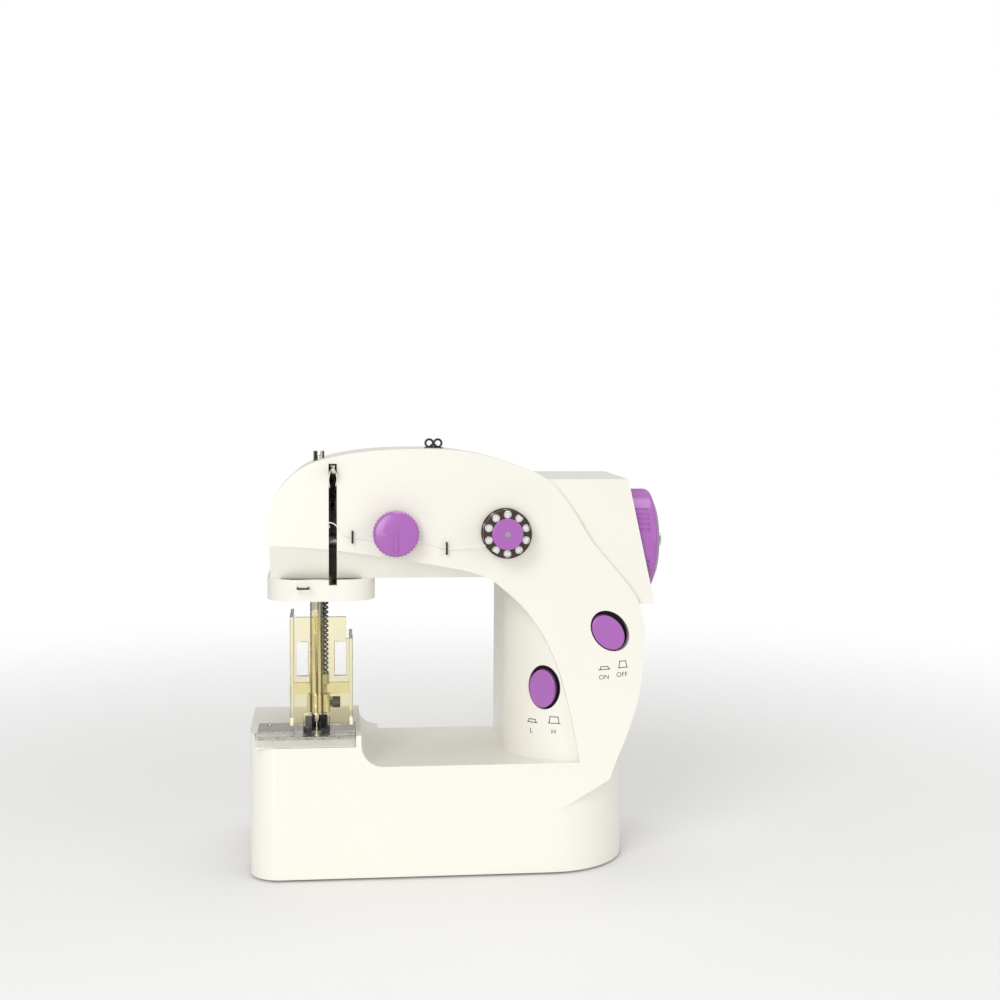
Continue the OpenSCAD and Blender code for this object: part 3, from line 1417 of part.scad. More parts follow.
module sockets() {
  deep = 11;
  bore_r = 2.8;
  flange = 1.4;
  color("black") for (i = [0, 1])
    let (y = socket_y + i * socket_pitch)
    difference() {
      union() {
        rod_x(y, socket_z, socket_r, base_right_x - deep, base_right_x);
        rod_x(y, socket_z, socket_r + flange / 2, base_right_x - wall - flange, base_right_x - wall);
      }
      rod_x(y, socket_z, bore_r, base_right_x - deep + flange, base_right_x + overrun);
    }
}

front_case();
rear_case();
head_base();
bottom_plate();
battery_door();
battery_tray();
battery_contacts();
rubber_feet();
case_screws();
needle_plate();
bobbin_cover();
arm_frame();
shaft_bushes();
upper_shaft();
crank_disc();
handwheel();
shaft_pulleys();
timing_belt();
drive_belt();
lower_shaft();
lower_pulley();
lower_bearings();
hook();
lower_bobbin();
feed_cam();
feed_dog();
guide_rods();
motor();
motor_bracket();
motor_pulley();
needle_bar();
needle_yoke();
needle_clamp();
clamp_screw();
needle();
bar_bushes();
presser_bar();
bar_collars();
presser_spring();
presser_foot();
foot_screw();
finger_guard();
presser_lifter();
take_up_lever();
tension_stud();
tension_discs();
tension_spring();
tension_knob();
bobbin_spindle();
supply_bobbin();
bobbin_thread();
bobbin_cap();
wire_guides();
top_guide();
upper_thread();
power_button();
speed_button();
switches();
sockets();
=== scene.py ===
# %% [markdown]
# # A toy sewing machine, dressed in Blender
# The drive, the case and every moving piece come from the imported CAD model, which is the fixed frame of this scene.
# Blender gives each visible piece its rounded edges, its finish and its small marks. All sizes are in metres, and a
# piece goes where the CAD says, so nothing has to be fitted by eye.

# %% Load the fixed frame
import json
import math

import bmesh
import bpy
from mathutils import Matrix, Vector


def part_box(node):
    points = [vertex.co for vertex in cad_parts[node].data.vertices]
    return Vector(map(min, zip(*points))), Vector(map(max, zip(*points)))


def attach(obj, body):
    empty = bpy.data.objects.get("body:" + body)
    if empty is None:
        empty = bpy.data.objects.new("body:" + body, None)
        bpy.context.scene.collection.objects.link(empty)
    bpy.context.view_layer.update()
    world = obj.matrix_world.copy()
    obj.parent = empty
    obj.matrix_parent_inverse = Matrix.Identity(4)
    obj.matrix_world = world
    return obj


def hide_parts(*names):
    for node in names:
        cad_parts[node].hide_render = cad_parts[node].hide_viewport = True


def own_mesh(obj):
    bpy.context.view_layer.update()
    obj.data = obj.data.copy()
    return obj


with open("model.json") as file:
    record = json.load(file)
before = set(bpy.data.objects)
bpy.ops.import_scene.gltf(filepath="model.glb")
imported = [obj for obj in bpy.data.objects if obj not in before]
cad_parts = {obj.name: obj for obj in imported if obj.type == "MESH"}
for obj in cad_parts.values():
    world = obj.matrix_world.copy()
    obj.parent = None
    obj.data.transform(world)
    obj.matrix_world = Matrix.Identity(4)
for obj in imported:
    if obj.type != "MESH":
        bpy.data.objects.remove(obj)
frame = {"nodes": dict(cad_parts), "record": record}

MM = 0.001
nodes = frame["nodes"]
body_of_node = {n: b for b, members in frame["record"]["behaviour"]["bodies"].items() for n in members}
slot_of_node = {s["node"]: s["material_slot"] for s in frame["record"]["subparts"]}
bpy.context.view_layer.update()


def placed(name, data):
    thing = bpy.data.objects.new(name, data)
    bpy.context.scene.collection.objects.link(thing)
    return thing


def mesh_of_curve(curve):
    drawn = placed("drawn_curve", curve)
    mesh = bpy.data.meshes.new_from_object(drawn.evaluated_get(bpy.context.evaluated_depsgraph_get()))
    bpy.data.objects.remove(drawn)
    return mesh


# %% [markdown]
# ## The camera
# The photograph was taken from a little above and slightly left of the machine, with a normal lens. The place, the
# tilt and the focal length were worked out from the straight edges of the bed and the arm, and they are written here
# as plain numbers. A camera looks along its own -Z, so its matrix is made from its right, up and back directions.

# %% Camera
camera_place = Vector((-0.0600, -0.70416, 0.22556))
pitch, yaw, roll = 0.0795, 0.11353, math.radians(0.4)
look = Vector((math.sin(yaw) * math.cos(pitch), math.cos(yaw) * math.cos(pitch), -math.sin(pitch)))
level = Vector((math.cos(yaw), -math.sin(yaw), 0))
lift = level.cross(look)
right_dir = math.cos(roll) * level + math.sin(roll) * lift
up_dir = math.cos(roll) * lift - math.sin(roll) * level
camera_data = bpy.data.cameras.new("photo_camera")
camera_data.lens = 54.0
camera_data.sensor_width = 36.0
camera_data.clip_start = 0.01
camera = placed("photo_camera", camera_data)
camera.matrix_world = Matrix.Translation(camera_place) @ Matrix((right_dir, up_dir, -look)).transposed().to_4x4()
bpy.context.scene.camera = camera
print("camera at", tuple(round(v, 3) for v in camera.location), "lens", camera_data.lens)

# %% [markdown]
# ## Shared surface effects
# Moulded plastic is never one flat colour: it has faint flow clouds, a fine grain from the mould, and a gloss that
# changes a little from place to place. Metal has lines from its last polishing, and on the chrome the same lines also
# give hard bands of painted reflection. Each effect is one node group that several materials use with their own
# values. A group gives out only values that vary over the surface, and the shader itself stays in each material.

# %% Node groups
def new_group(name, inputs, outputs):
    group = bpy.data.node_groups.new(name, "ShaderNodeTree")
    for label, value in inputs:
        socket = group.interface.new_socket(name=label, in_out="INPUT", socket_type="NodeSocketFloat")
        socket.default_value = value
    for label in outputs:
        group.interface.new_socket(name=label, in_out="OUTPUT", socket_type="NodeSocketFloat")
    return group, group.nodes.new("NodeGroupInput"), group.nodes.new("NodeGroupOutput")


def noise_node(group, vector, scale, detail=3.0):
    node = group.nodes.new("ShaderNodeTexNoise")
    node.inputs["Detail"].default_value = detail
    group.links.new(vector, node.inputs["Vector"])
    if isinstance(scale, (int, float)):
        node.inputs["Scale"].default_value = scale
    else:
        group.links.new(scale, node.inputs["Scale"])
    return node.outputs["Fac"]


def range_node(group, value, low, high, from_low=0.15, from_high=0.85):
    node = group.nodes.new("ShaderNodeMapRange")
    node.inputs["From Min"].default_value = from_low
    node.inputs["From Max"].default_value = from_high
    group.links.new(value, node.inputs["Value"])
    for label, source in (("To Min", low), ("To Max", high)):
        if isinstance(source, (int, float)):
            node.inputs[label].default_value = source
        else:
            group.links.new(source, node.inputs[label])
    return node.outputs["Result"]


def make_moulded_skin():
    group, ins, outs = new_group(
        "moulded_skin",
        [("Cloud Scale", 18.0), ("Grain Scale", 2600.0), ("Gloss Low", 0.25), ("Gloss High", 0.35)],
        ["Cloud", "Roughness", "Grain"])
    place = group.nodes.new("ShaderNodeTexCoord").outputs["Object"]
    cloud = noise_node(group, place, ins.outputs["Cloud Scale"])
    smear = noise_node(group, place, 28.0, 2.0)
    group.links.new(range_node(group, cloud, 0.0, 1.0), outs.inputs["Cloud"])
    group.links.new(
        range_node(group, smear, ins.outputs["Gloss Low"], ins.outputs["Gloss High"]), outs.inputs["Roughness"])
    group.links.new(noise_node(group, place, ins.outputs["Grain Scale"], 2.0), outs.inputs["Grain"])
    return group


def make_polish_lines():
    group, ins, outs = new_group(
        "polish_lines",
        [("Along X", 40.0), ("Along Y", 40.0), ("Along Z", 40.0), ("Gloss Low", 0.18), ("Gloss High", 0.34)],
        ["Tone", "Roughness", "Lines", "Painted Reflection"])
    place = group.nodes.new("ShaderNodeTexCoord").outputs["Object"]
    stretch = group.nodes.new("ShaderNodeCombineXYZ")
    for axis in "XYZ":
        group.links.new(ins.outputs["Along " + axis], stretch.inputs[axis])
    scaled = group.nodes.new("ShaderNodeVectorMath")
    scaled.operation = "MULTIPLY"
    group.links.new(place, scaled.inputs[0])
    group.links.new(stretch.outputs["Vector"], scaled.inputs[1])
    lines = noise_node(group, scaled.outputs["Vector"], 1.0, 4.0)
    spots = noise_node(group, place, 260.0, 3.0)
    group.links.new(range_node(group, spots, 0.0, 1.0), outs.inputs["Tone"])
    group.links.new(
        range_node(group, lines, ins.outputs["Gloss Low"], ins.outputs["Gloss High"]), outs.inputs["Roughness"])
    group.links.new(lines, outs.inputs["Lines"])
    # the hard bands cut from the lines are a painted reflection: the chrome turns them into highlight and dark
    # stripes
    group.links.new(range_node(group, lines, 0.0, 1.0, 0.42, 0.57), outs.inputs["Painted Reflection"])
    return group


moulded_skin = make_moulded_skin()
polish_lines = make_polish_lines()
print("node groups", moulded_skin.name, polish_lines.name)

# %% [markdown]
# ## Finishes
# The case is glossy warm white plastic. The wheel, the knob and the buttons are purple. The guard is clear plastic
# with a yellow tint, and the bars, the plate and the screws are metal. Each finish is a small recipe: two colours
# mixed by the clouds, a changing roughness and a very shallow bump. The chrome of the bars is mixed by hard bands
# along its polishing lines instead, a painted reflection of highlights and dark edges, so the bars look streaked.

# %% Material recipes
finishes = {}
MIX_A, MIX_B, MIX_RESULT = 6, 7, 2  # colour sockets of the mix node


def start_material(name):
    material = bpy.data.materials.new(name)
    material.use_nodes = True
    finishes[name] = material
    return material.node_tree, material.node_tree.nodes["Principled BSDF"]


def two_tone(tree, mask, dark, light):
    mix = tree.nodes.new("ShaderNodeMix")
    mix.data_type = "RGBA"
    mix.inputs[MIX_A].default_value = (*dark, 1)
    mix.inputs[MIX_B].default_value = (*light, 1)
    tree.links.new(mask, mix.inputs[0])
    return mix.outputs[MIX_RESULT]


def add_bump(tree, shader, height, distance, strength):
    bump = tree.nodes.new("ShaderNodeBump")
    bump.inputs["Distance"].default_value = distance
    bump.inputs["Strength"].default_value = strength
    tree.links.new(height, bump.inputs["Height"])
    tree.links.new(bump.outputs["Normal"], shader.inputs["Normal"])


def plastic(name, dark, light, gloss=(0.25, 0.35), cloud=18.0, grain=2600.0, depth=0.00002, clear=0.0):
    tree, shader = start_material(name)
    skin = tree.nodes.new("ShaderNodeGroup")
    skin.node_tree = moulded_skin
    for label, value in zip(("Cloud Scale", "Grain Scale", "Gloss Low", "Gloss High"), (cloud, grain, *gloss)):
        skin.inputs[label].default_value = value
    tree.links.new(two_tone(tree, skin.outputs["Cloud"], dark, light), shader.inputs["Base Color"])
    tree.links.new(skin.outputs["Roughness"], shader.inputs["Roughness"])
    shader.inputs["Transmission Weight"].default_value = clear
    shader.inputs["IOR"].default_value = 1.49 if clear else 1.5
    add_bump(tree, shader, skin.outputs["Grain"], depth, 0.35)


def metal(name, dark, light, gloss=(0.18, 0.34), along=(60.0, 60.0, 60.0), depth=0.00001, mask="Tone"):
    tree, shader = start_material(name)
    lines = tree.nodes.new("ShaderNodeGroup")
    lines.node_tree = polish_lines
    for label, value in zip(("Along X", "Along Y", "Along Z", "Gloss Low", "Gloss High"), (*along, *gloss)):
        lines.inputs[label].default_value = value
    tree.links.new(two_tone(tree, lines.outputs[mask], dark, light), shader.inputs["Base Color"])
    tree.links.new(lines.outputs["Roughness"], shader.inputs["Roughness"])
    shader.inputs["Metallic"].default_value = 1.0
    add_bump(tree, shader, lines.outputs["Lines"], depth, 0.4)


plastic("white_plastic", (0.85, 0.832, 0.75), (0.865, 0.848, 0.77), gloss=(0.27, 0.33), cloud=9.0)
plastic("purple_plastic", (0.385, 0.125, 0.445), (0.415, 0.14, 0.475), gloss=(0.16, 0.22), cloud=45.0)
plastic("brown_plastic", (0.035, 0.018, 0.013), (0.055, 0.03, 0.02), gloss=(0.2, 0.32), cloud=80.0)
plastic("dark_plastic", (0.012, 0.012, 0.013), (0.028, 0.027, 0.027), gloss=(0.42, 0.6), cloud=90.0)
plastic("grey_plastic", (0.30, 0.30, 0.30), (0.38, 0.38, 0.37), gloss=(0.4, 0.55), cloud=60.0)
plastic("guard_plastic", (0.945, 0.88, 0.60), (0.96, 0.905, 0.66), gloss=(0.03, 0.07), cloud=40.0, clear=1.0)
plastic("clear_plastic", (0.90, 0.91, 0.90), (0.95, 0.955, 0.945), gloss=(0.06, 0.14), cloud=40.0, clear=1.0)
plastic("foot_rubber", (0.02, 0.02, 0.02), (0.04, 0.04, 0.04), gloss=(0.6, 0.8), cloud=120.0, grain=900.0)
plastic("belt_rubber", (0.012, 0.012, 0.012), (0.024, 0.024, 0.024), gloss=(0.55, 0.75), cloud=150.0, grain=1200.0)
metal("steel", (0.53, 0.50, 0.46), (0.66, 0.63, 0.59), gloss=(0.2, 0.36), along=(900.0, 60.0, 60.0))
# chrome: a near black and a bright colour in hard bands, a painted reflection of highlights and dark edges
metal("chrome", (0.07, 0.055, 0.03), (0.84, 0.80, 0.66), gloss=(0.10, 0.20), along=(620.0, 620.0, 12.0),
      mask="Painted Reflection")
metal("dark_metal", (0.035, 0.035, 0.037), (0.075, 0.075, 0.078), gloss=(0.25, 0.42), along=(300.0, 300.0, 60.0))
metal("cast_frame", (0.36, 0.37, 0.38), (0.47, 0.48, 0.49), gloss=(0.4, 0.6), along=(200.0, 200.0, 200.0))
metal("bronze", (0.42, 0.28, 0.12), (0.56, 0.39, 0.18), gloss=(0.25, 0.4), along=(60.0, 60.0, 400.0))
print(len(finishes), "finishes")

# %% [markdown]
# ## Rounded edges on the CAD pieces
# The CAD solids have sharp edges, and real moulded or turned pieces don't. A copy of a node's mesh is welded, its
# flat triangles are joined, and then its outward edges are bevelled. Shading is smooth up to an angle, and the larger
# faces weigh more in it, so round walls look round and flat ones stay flat. The copy replaces the node and rides on
# the same body.

# %% Helpers for dressed copies
WELD_GAP = 2e-6
FLAT_ANGLE = math.radians(0.6)


def welded(node):
    shape = bmesh.new()
    shape.from_mesh(nodes[node].data)
    bmesh.ops.remove_doubles(shape, verts=shape.verts, dist=WELD_GAP)
    bmesh.ops.dissolve_limit(
        shape, angle_limit=FLAT_ANGLE, use_dissolve_boundaries=False, verts=shape.verts, edges=shape.edges,
        delimit=set())
    return shape


def sharp_edges(shape, angle=35.0, least=0.0):
    found = []
    for edge in shape.edges:
        if len(edge.link_faces) == 2 and edge.is_convex and edge.calc_length() > least:
            if edge.calc_face_angle(0.0) > math.radians(angle):
                found.append(edge)
    return found


def round_off(shape, edges, width, segments=3):
    if edges:
        bmesh.ops.bevel(
            shape, geom=edges, offset=width, offset_type="OFFSET", segments=segments, profile=0.5, affect="EDGES",
            clamp_overlap=True, material=-1, loop_slide=True)
        bmesh.ops.dissolve_degenerate(shape, dist=1e-6, edges=shape.edges)


def finish_piece(shape, name, node, finish, smooth=38.0):
    shape.normal_update()
    for face in shape.faces:
        face.smooth = True
    for edge in shape.edges:
        edge.smooth = edge.calc_face_angle(0.0) < math.radians(smooth)
    mesh = bpy.data.meshes.new(name)
    shape.to_mesh(mesh)
    shape.free()
    mesh.materials.append(finishes[finish])
    piece = placed(name, mesh)
    weighted = piece.modifiers.new("even_shading", "WEIGHTED_NORMAL")
    weighted.keep_sharp = True
    if node:
        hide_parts(node)
        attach(piece, body_of_node[node])
    return piece


def dressed(node, width):
    shape = welded(node)
    round_off(shape, sharp_edges(shape), width, segments=2)
    piece = finish_piece(shape, node + "_dressed", node, slot_of_node[node])
    print(piece.name, len(piece.data.polygons), "faces")


# %% Small turned, cut and moulded pieces
for node, width in (
        ("head_base", 0.0006), ("handwheel", 0.0003), ("tension_knob", 0.0002), ("supply_bobbin", 0.0002),
        ("bobbin_cap", 0.0002), ("finger_guard", 0.0003), ("bobbin_cover", 0.0004), ("needle_plate", 0.0003),
        ("presser_foot", 0.0003), ("needle_clamp", 0.0003), ("clamp_screw", 0.0003), ("foot_screw", 0.0003),
        ("needle_bar", 0.0003), ("presser_bar", 0.0003), ("bar_collars", 0.0002), ("take_up_lever", 0.0003),
        ("presser_lifter", 0.0006), ("wire_guides", 0.0001), ("top_guide", 0.0001), ("battery_door", 0.0003),
        ("bottom_plate", 0.0003), ("sockets", 0.0003), ("tension_discs", 0.0001), ("upper_shaft", 0.0003),
        ("power_button", 0.0008), ("speed_button", 0.0008), ("rubber_feet", 0.0003), ("case_screws", 0.0002)):
    dressed(node, width)

# %% [markdown]
# ## The wheel and the knob
# The wheel stands with two groups of finger grooves towards the front, as in the photograph. It turns without end, so
# its copy is simply turned about the shaft. The knob is closed in front: a thin round face with the end of the finger
# rib covers the stud and turns with the knob.

# %% Wheel turned to its place, and the knob's face
wheel_stop = math.radians(31.5)
face_r, face_t = 0.0028, 0.0012
face_place, rib_place = Vector((0, 0.0011, 0)), Vector((0, 0.0006, -0.0008))
rib_size = (0.0016, 0.0012, 0.0036)

wheel = bpy.data.objects["handwheel_dressed"]
low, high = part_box("handwheel")
hub = Vector((0, (low.y + high.y) / 2, (low.z + high.z) / 2))
wheel.data.transform(
    Matrix.Translation(hub) @ Matrix.Rotation(wheel_stop, 4, "X") @ Matrix.Translation(-hub))

low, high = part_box("tension_knob")
middle = Vector(((low.x + high.x) / 2, low.y, (low.z + high.z) / 2))
shape = bmesh.new()
bmesh.ops.create_cone(
    shape, cap_ends=True, segments=64, radius1=face_r, radius2=face_r, depth=face_t,
    matrix=Matrix.Translation(middle + face_place) @ Matrix.Rotation(math.pi / 2, 4, "X"))
bmesh.ops.create_cube(
    shape, size=1.0, matrix=Matrix.Translation(middle + rib_place) @ Matrix.Diagonal((*rib_size, 1)))
round_off(shape, sharp_edges(shape), 0.0002)
knob_face = finish_piece(shape, "knob_face", None, "purple_plastic")
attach(knob_face, body_of_node["tension_knob"])
print("wheel turned,", knob_face.name, len(knob_face.data.polygons), "faces")

# %% [markdown]
# ## The two case halves
# The halves are thin shells with many openings. Their long outer edges have a visible soft rounding, and the edges
# of holes and slots are nearly sharp, as a mould leaves them. So the edges are sorted by where they lie, and each
# sort gets its own bevel. The panel's foot runs out into the bed, and its edges stay as they are.

# %% Case halves
panel_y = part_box("front_case")[0].y
bed_top = 0.052
slot_x, slot_half = -0.0586, 0.003
panel_holes = [(-0.031, 0.158, 0.004), (0.018, 0.158, 0.005), (0.0664, 0.1125, 0.012)]  # x, z, radius
foot_x, foot_y, foot_z = 0.02, -0.01, 0.0525
contour_round, hole_round = 0.0012, 0.0003
same_plane = 0.0001


def near_foot(edge):
    return any(v.co.x > foot_x and v.co.y < foot_y and v.co.z < foot_z for v in edge.verts)


def on_contour(edge):
    middle = (edge.verts[0].co + edge.verts[1].co) / 2
    if abs(middle.y - panel_y) > same_plane or abs(middle.x - slot_x) < slot_half or middle.z < bed_top:
        return False
    return all((middle.x - x) ** 2 + (middle.z - z) ** 2 > r * r for x, z, r in panel_holes)


def case_half(node, name):
    shape = welded(node)
    contour = [e for e in sharp_edges(shape, angle=35.0, least=0.0004) if on_contour(e) and not near_foot(e)]
    round_off(shape, contour, contour_round, segments=4)
    others = [e for e in sharp_edges(shape, angle=60.0, least=0.0008) if not on_contour(e) and not near_foot(e)]
    round_off(shape, others, hole_round, segments=2)
    piece = finish_piece(shape, name, node, "white_plastic")
    print(name, len(piece.data.polygons), "faces")


case_half("front_case", "front_shell")
case_half("rear_case", "rear_shell")

# %% [markdown]
# ## The presser spring
# A dark wire coil pushes the presser bar down. The spin operator can move a little along its axis at every step, so a
# small circle becomes a coil in one call. The coil shortens when the foot is lifted; here it is held at the head as
# one fixed shape.

# %% Presser spring
def coil(coil_r, wire_r, turns, rise, steps, sides):
    shape = bmesh.new()
    bmesh.ops.create_circle(
        shape, segments=sides, radius=wire_r,
        matrix=Matrix.Translation((coil_r, 0, 0)) @ Matrix.Rotation(math.pi / 2, 4, "X"))
    bmesh.ops.spin(
        shape, geom=shape.verts[:] + shape.edges[:], cent=(0, 0, 0), axis=(0, 0, 1),
        dvec=(0, 0, rise / (turns * steps)), angle=2 * math.pi * turns, steps=turns * steps, use_merge=False)
    bmesh.ops.holes_fill(shape, edges=[e for e in shape.edges if e.is_boundary], sides=0)
    bmesh.ops.recalc_face_normals(shape, faces=shape.faces)
    return shape


low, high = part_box("presser_spring")
wire_r, spring_turns = 0.00045, 16
shape = coil(
    (high.x - low.x) / 2 - wire_r, wire_r, spring_turns, high.z - low.z - 2 * wire_r, steps=24, sides=8)
bmesh.ops.translate(shape, verts=shape.verts, vec=((low.x + high.x) / 2, (low.y + high.y) / 2, low.z + wire_r))
spring = finish_piece(shape, "presser_coil", None, "dark_metal", 60.0)
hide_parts("presser_spring")
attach(spring, "case")
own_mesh(spring)
print("spring", round((high.z - low.z) / MM, 1), "mm long,", len(spring.data.polygons), "faces")

# %% [markdown]
# ## Thread
# White sewing thread is wound on the supply bobbin, runs along the panel through two wire guides and the tension
# discs, and goes into the slot to the take-up lever. The winding is a core with one fine coil on it, a little fuller
# than the solid, so that it fills the holes of the bobbin. The runs are curves with a round section, made into
# meshes. The loop in the lever's eye rides on the lever.

# %% Thread finish and winding
plastic("thread", (0.89, 0.88, 0.86), (0.96, 0.955, 0.94), gloss=(0.6, 0.8), cloud=900.0, grain=6000.0, depth=0.00006)

low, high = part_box("bobbin_thread")
strand_r, strand_step = 0.00017, 0.00032
fuller = 0.0007
coil_r = (high.x - low.x) / 2 + fuller
width = high.y - low.y
turns = int((width - 2 * strand_r) / strand_step)
shape = coil(coil_r, strand_r, turns, width - 2 * strand_r, steps=40, sides=6)
bmesh.ops.create_cone(
    shape, cap_ends=True, segments=64, radius1=coil_r, radius2=coil_r, depth=width - 2 * strand_r,
    matrix=Matrix.Translation((0, 0, width / 2 - strand_r)))
bmesh.ops.rotate(shape, verts=shape.verts, cent=(0, 0, 0), matrix=Matrix.Rotation(-math.pi / 2, 3, "X"))
bmesh.ops.translate(
    shape, verts=shape.verts, vec=((low.x + high.x) / 2, low.y + strand_r, (low.z + high.z) / 2))
finish_piece(shape, "bobbin_winding", "bobbin_thread", "thread", 60.0)
print("winding", turns, "turns")

# %% Thread runs
def strand(name, points, body, node=None, radius=0.00024):
    line = bpy.data.curves.new(name, "CURVE")
    line.dimensions = "3D"
    line.bevel_depth = radius
    line.bevel_resolution = 2
    line.use_fill_caps = True
    line.resolution_u = 10
    spline = line.splines.new("BEZIER")
    spline.bezier_points.add(len(points) - 1)
    for point, place in zip(spline.bezier_points, points):
        point.co = [v * MM for v in place]
        point.handle_left_type = point.handle_right_type = "AUTO"
    mesh = mesh_of_curve(line)
    mesh.materials.clear()
    mesh.materials.append(finishes["thread"])
    mesh.polygons.foreach_set("use_smooth", [True] * len(mesh.polygons))
    piece = placed(name, mesh)
    if node:
        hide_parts(node)
    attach(piece, body)


strand("supply_run", [(10.2, -43.8, 152.5), (1.0, -42.2, 151.4), (-8.15, -41.0, 150.8), (-15.0, -40.9, 152.6),
                      (-21.8, -40.9, 154.4)], "case", "upper_thread")
strand("tension_run", [(-40.2, -40.9, 154.4), (-45.0, -40.9, 155.4), (-49.97, -41.0, 156.05),
                       (-55.0, -40.9, 158.0), (-57.6, -40.8, 161.6), (-60.2, -40.6, 162.4), (-60.0, -38.6, 160.0)],
       "case")
strand("take_up_loop", [(-60.0, -38.8, 178.0), (-60.2, -43.2, 183.0), (-58.6, -44.6, 186.0), (-56.9, -43.2, 183.4),
                        (-57.2, -38.8, 178.6)], "take_up")
print("thread runs made")

# %% [markdown]
# ## Marks on the case
# Two small picture signs stand under each button: a low one for pressed in and a tall one for out, with ON and OFF
# or L and H below. They are printed, so each is a very thin raised mesh. The lower pair lies on the round pillar, and
# its points are laid round the pillar's radius.

# %% Printed marks
plastic("print_ink", (0.05, 0.048, 0.045), (0.09, 0.085, 0.08), gloss=(0.4, 0.55), cloud=400.0)
INK = 0.00004
LONG_STROKE = 0.0008
panel_tilt = math.radians(4)
pillar_x, pillar_r, pillar_set = 0.054, 0.0325, 0.003
pillar_mid = (pillar_x, panel_y + pillar_set + pillar_r)


def word_shape(word, size):
    text = bpy.data.curves.new("word", "FONT")
    text.body = word
    text.size = size
    text.extrude = INK
    text.align_x = "CENTER"
    text.align_y = "CENTER"
    mesh = mesh_of_curve(text)
    shape = bmesh.new()
    shape.from_mesh(mesh)
    bpy.data.meshes.remove(mesh)
    bmesh.ops.remove_doubles(shape, verts=shape.verts, dist=1e-7)
    return shape


def sign_shape(height, top_half, base_half=0.0027, line=0.00036, slant=0.0004):
    shape = bmesh.new()
    strokes = [((-base_half, 0), (base_half, 0)), ((-top_half - slant, 0), (-top_half, height)),
               ((top_half + slant, 0), (top_half, height)), ((-top_half, height), (top_half, height))]
    for a, b in strokes:
        along = Vector(b) - Vector(a)
        middle = (Vector(a) + Vector(b)) / 2
        bmesh.ops.create_cube(
            shape, size=1.0, matrix=Matrix.Translation((middle.x, middle.y, 0)) @ Matrix.Rotation(
                math.atan2(along.y, along.x), 4, "Z") @ Matrix.Diagonal((along.length + line, line, 2 * INK, 1)))
    return shape


def print_on_panel(shape, name, x, z):
    bmesh.ops.transform(
        shape, verts=shape.verts, matrix=Matrix.Translation((x * MM, panel_y, z * MM)) @ Matrix.Rotation(
            math.pi / 2, 4, "X") @ Matrix.Rotation(panel_tilt, 4, "Z"))
    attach(finish_piece(shape, name, None, "print_ink"), "case")


def print_on_pillar(shape, name, turn, z):
    bmesh.ops.subdivide_edges(
        shape, edges=[e for e in shape.edges if e.calc_length() > LONG_STROKE], cuts=3, use_grid_fill=True)
    for vert in shape.verts:
        angle = math.radians(turn) + vert.co.x / pillar_r
        radius = pillar_r + vert.co.z
        vert.co = (pillar_mid[0] + radius * math.sin(angle), pillar_mid[1] - radius * math.cos(angle),
                   z * MM + vert.co.y)
    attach(finish_piece(shape, name, None, "print_ink"), "case")


print_on_panel(sign_shape(0.0013, 0.0016), "sign_on", 64.1, 94.9)
print_on_panel(sign_shape(0.0030, 0.0014, 0.0021), "sign_off", 72.6, 95.7)
print_on_panel(word_shape("ON", 0.0030), "word_on", 63.9, 91.3)
print_on_panel(word_shape("OFF", 0.0030), "word_off", 72.2, 92.4)
print_on_pillar(sign_shape(0.0014, 0.0017), "sign_low", -41.2, 68.7)
print_on_pillar(sign_shape(0.0030, 0.0019, 0.0028), "sign_high", -21.8, 69.2)
print_on_pillar(word_shape("L", 0.0032), "word_low", -42.0, 64.7)
print_on_pillar(word_shape("H", 0.0032), "word_high", -22.1, 65.2)

# %% [markdown]
# ## The other CAD pieces
# The pieces inside the case can hardly be seen. They keep their CAD shape and take the finish that the record names.

# %% Finishes of the other pieces
for node, piece in nodes.items():
    if not piece.hide_render:
        piece.data.materials.clear()
        piece.data.materials.append(finishes[slot_of_node[node]])
        print("kept", node, slot_of_node[node])

# %% [markdown]
# ## Floor and light
# A pale floor carries the soft shadow and fades out round the machine. Four large lamps give the even light of a
# studio table, and the world adds a low fill. The background is white only for the camera and for what shows through
# clear plastic.

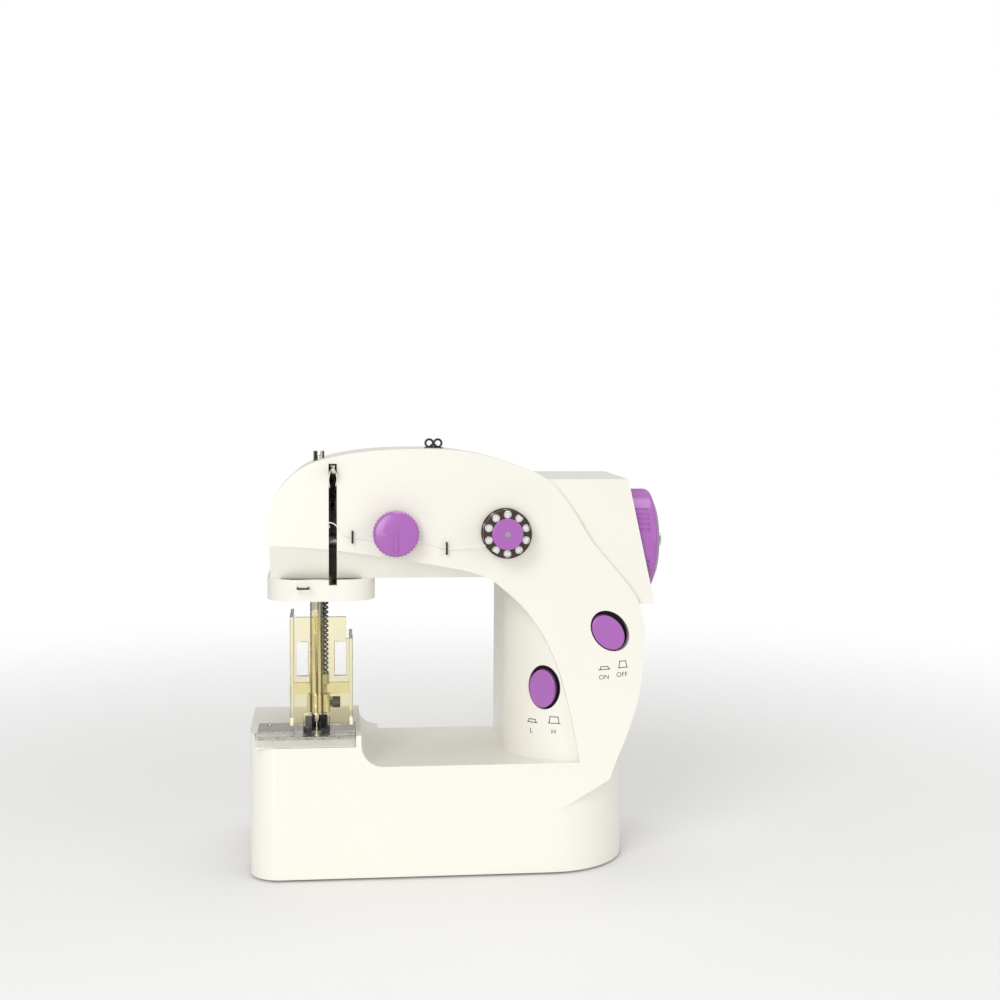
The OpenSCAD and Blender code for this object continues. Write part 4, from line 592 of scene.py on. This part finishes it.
# %% Floor
floor_mesh = bpy.data.meshes.new("floor")
floor_shape = bmesh.new()
bmesh.ops.create_grid(floor_shape, x_segments=2, y_segments=2, size=3.0)
floor_shape.to_mesh(floor_mesh)
floor_shape.free()
floor = placed("floor", floor_mesh)
plastic("floor_paper", (0.86, 0.855, 0.845), (0.88, 0.875, 0.865), gloss=(0.8, 0.9), cloud=3.0)
paper = finishes["floor_paper"]
tree = paper.node_tree
fade_start, fade_end = 0.14, 0.75
distance = tree.nodes.new("ShaderNodeVectorMath")
distance.operation = "LENGTH"
tree.links.new(tree.nodes.new("ShaderNodeTexCoord").outputs["Object"], distance.inputs[0])
fade = tree.nodes.new("ShaderNodeMapRange")
fade.interpolation_type = "SMOOTHSTEP"
fade.inputs["From Min"].default_value = fade_start
fade.inputs["From Max"].default_value = fade_end
tree.links.new(distance.outputs["Value"], fade.inputs["Value"])
blend = tree.nodes.new("ShaderNodeMixShader")
tree.links.new(fade.outputs["Result"], blend.inputs["Fac"])
tree.links.new(tree.nodes["Principled BSDF"].outputs["BSDF"], blend.inputs[1])
tree.links.new(tree.nodes.new("ShaderNodeBsdfTransparent").outputs["BSDF"], blend.inputs[2])
tree.links.new(blend.outputs["Shader"], tree.nodes["Material Output"].inputs["Surface"])
floor_mesh.materials.append(paper)

# %% World and lamps
world_fill, white_background = 0.52, 1.0
machine_middle = (0, 0, 0.1)
world = bpy.data.worlds.new("studio")
bpy.context.scene.world = world
world.use_nodes = True
tree = world.node_tree
background = tree.nodes["Background"]
paths = tree.nodes.new("ShaderNodeLightPath")
seen = tree.nodes.new("ShaderNodeMath")
seen.operation = "MAXIMUM"
tree.links.new(paths.outputs["Is Camera Ray"], seen.inputs[0])
tree.links.new(paths.outputs["Is Transmission Ray"], seen.inputs[1])
strength = tree.nodes.new("ShaderNodeMapRange")
strength.inputs["To Min"].default_value = world_fill
strength.inputs["To Max"].default_value = white_background
tree.links.new(seen.outputs["Value"], strength.inputs["Value"])
tree.links.new(strength.outputs["Result"], background.inputs["Strength"])
background.inputs["Color"].default_value = (1, 1, 1, 1)


def area_lamp(name, place, size, power):
    data = bpy.data.lights.new(name, "AREA")
    data.shape = "SQUARE"
    data.size = size
    data.energy = power
    lamp = placed(name, data)
    lamp.location = place
    lamp.rotation_euler = (Vector(machine_middle) - Vector(place)).to_track_quat("-Z", "Y").to_euler()


area_lamp("key_lamp", (-0.6, -1.1, 0.9), 0.6, 6.5)
area_lamp("low_lamp", (-0.3, -1.15, 0.25), 0.4, 2.7)
area_lamp("fill_lamp", (0.9, -0.8, 0.5), 0.8, 2.4)
area_lamp("top_lamp", (0.1, 0.1, 1.3), 0.7, 4.0)
bpy.context.scene.view_settings.view_transform = "Standard"
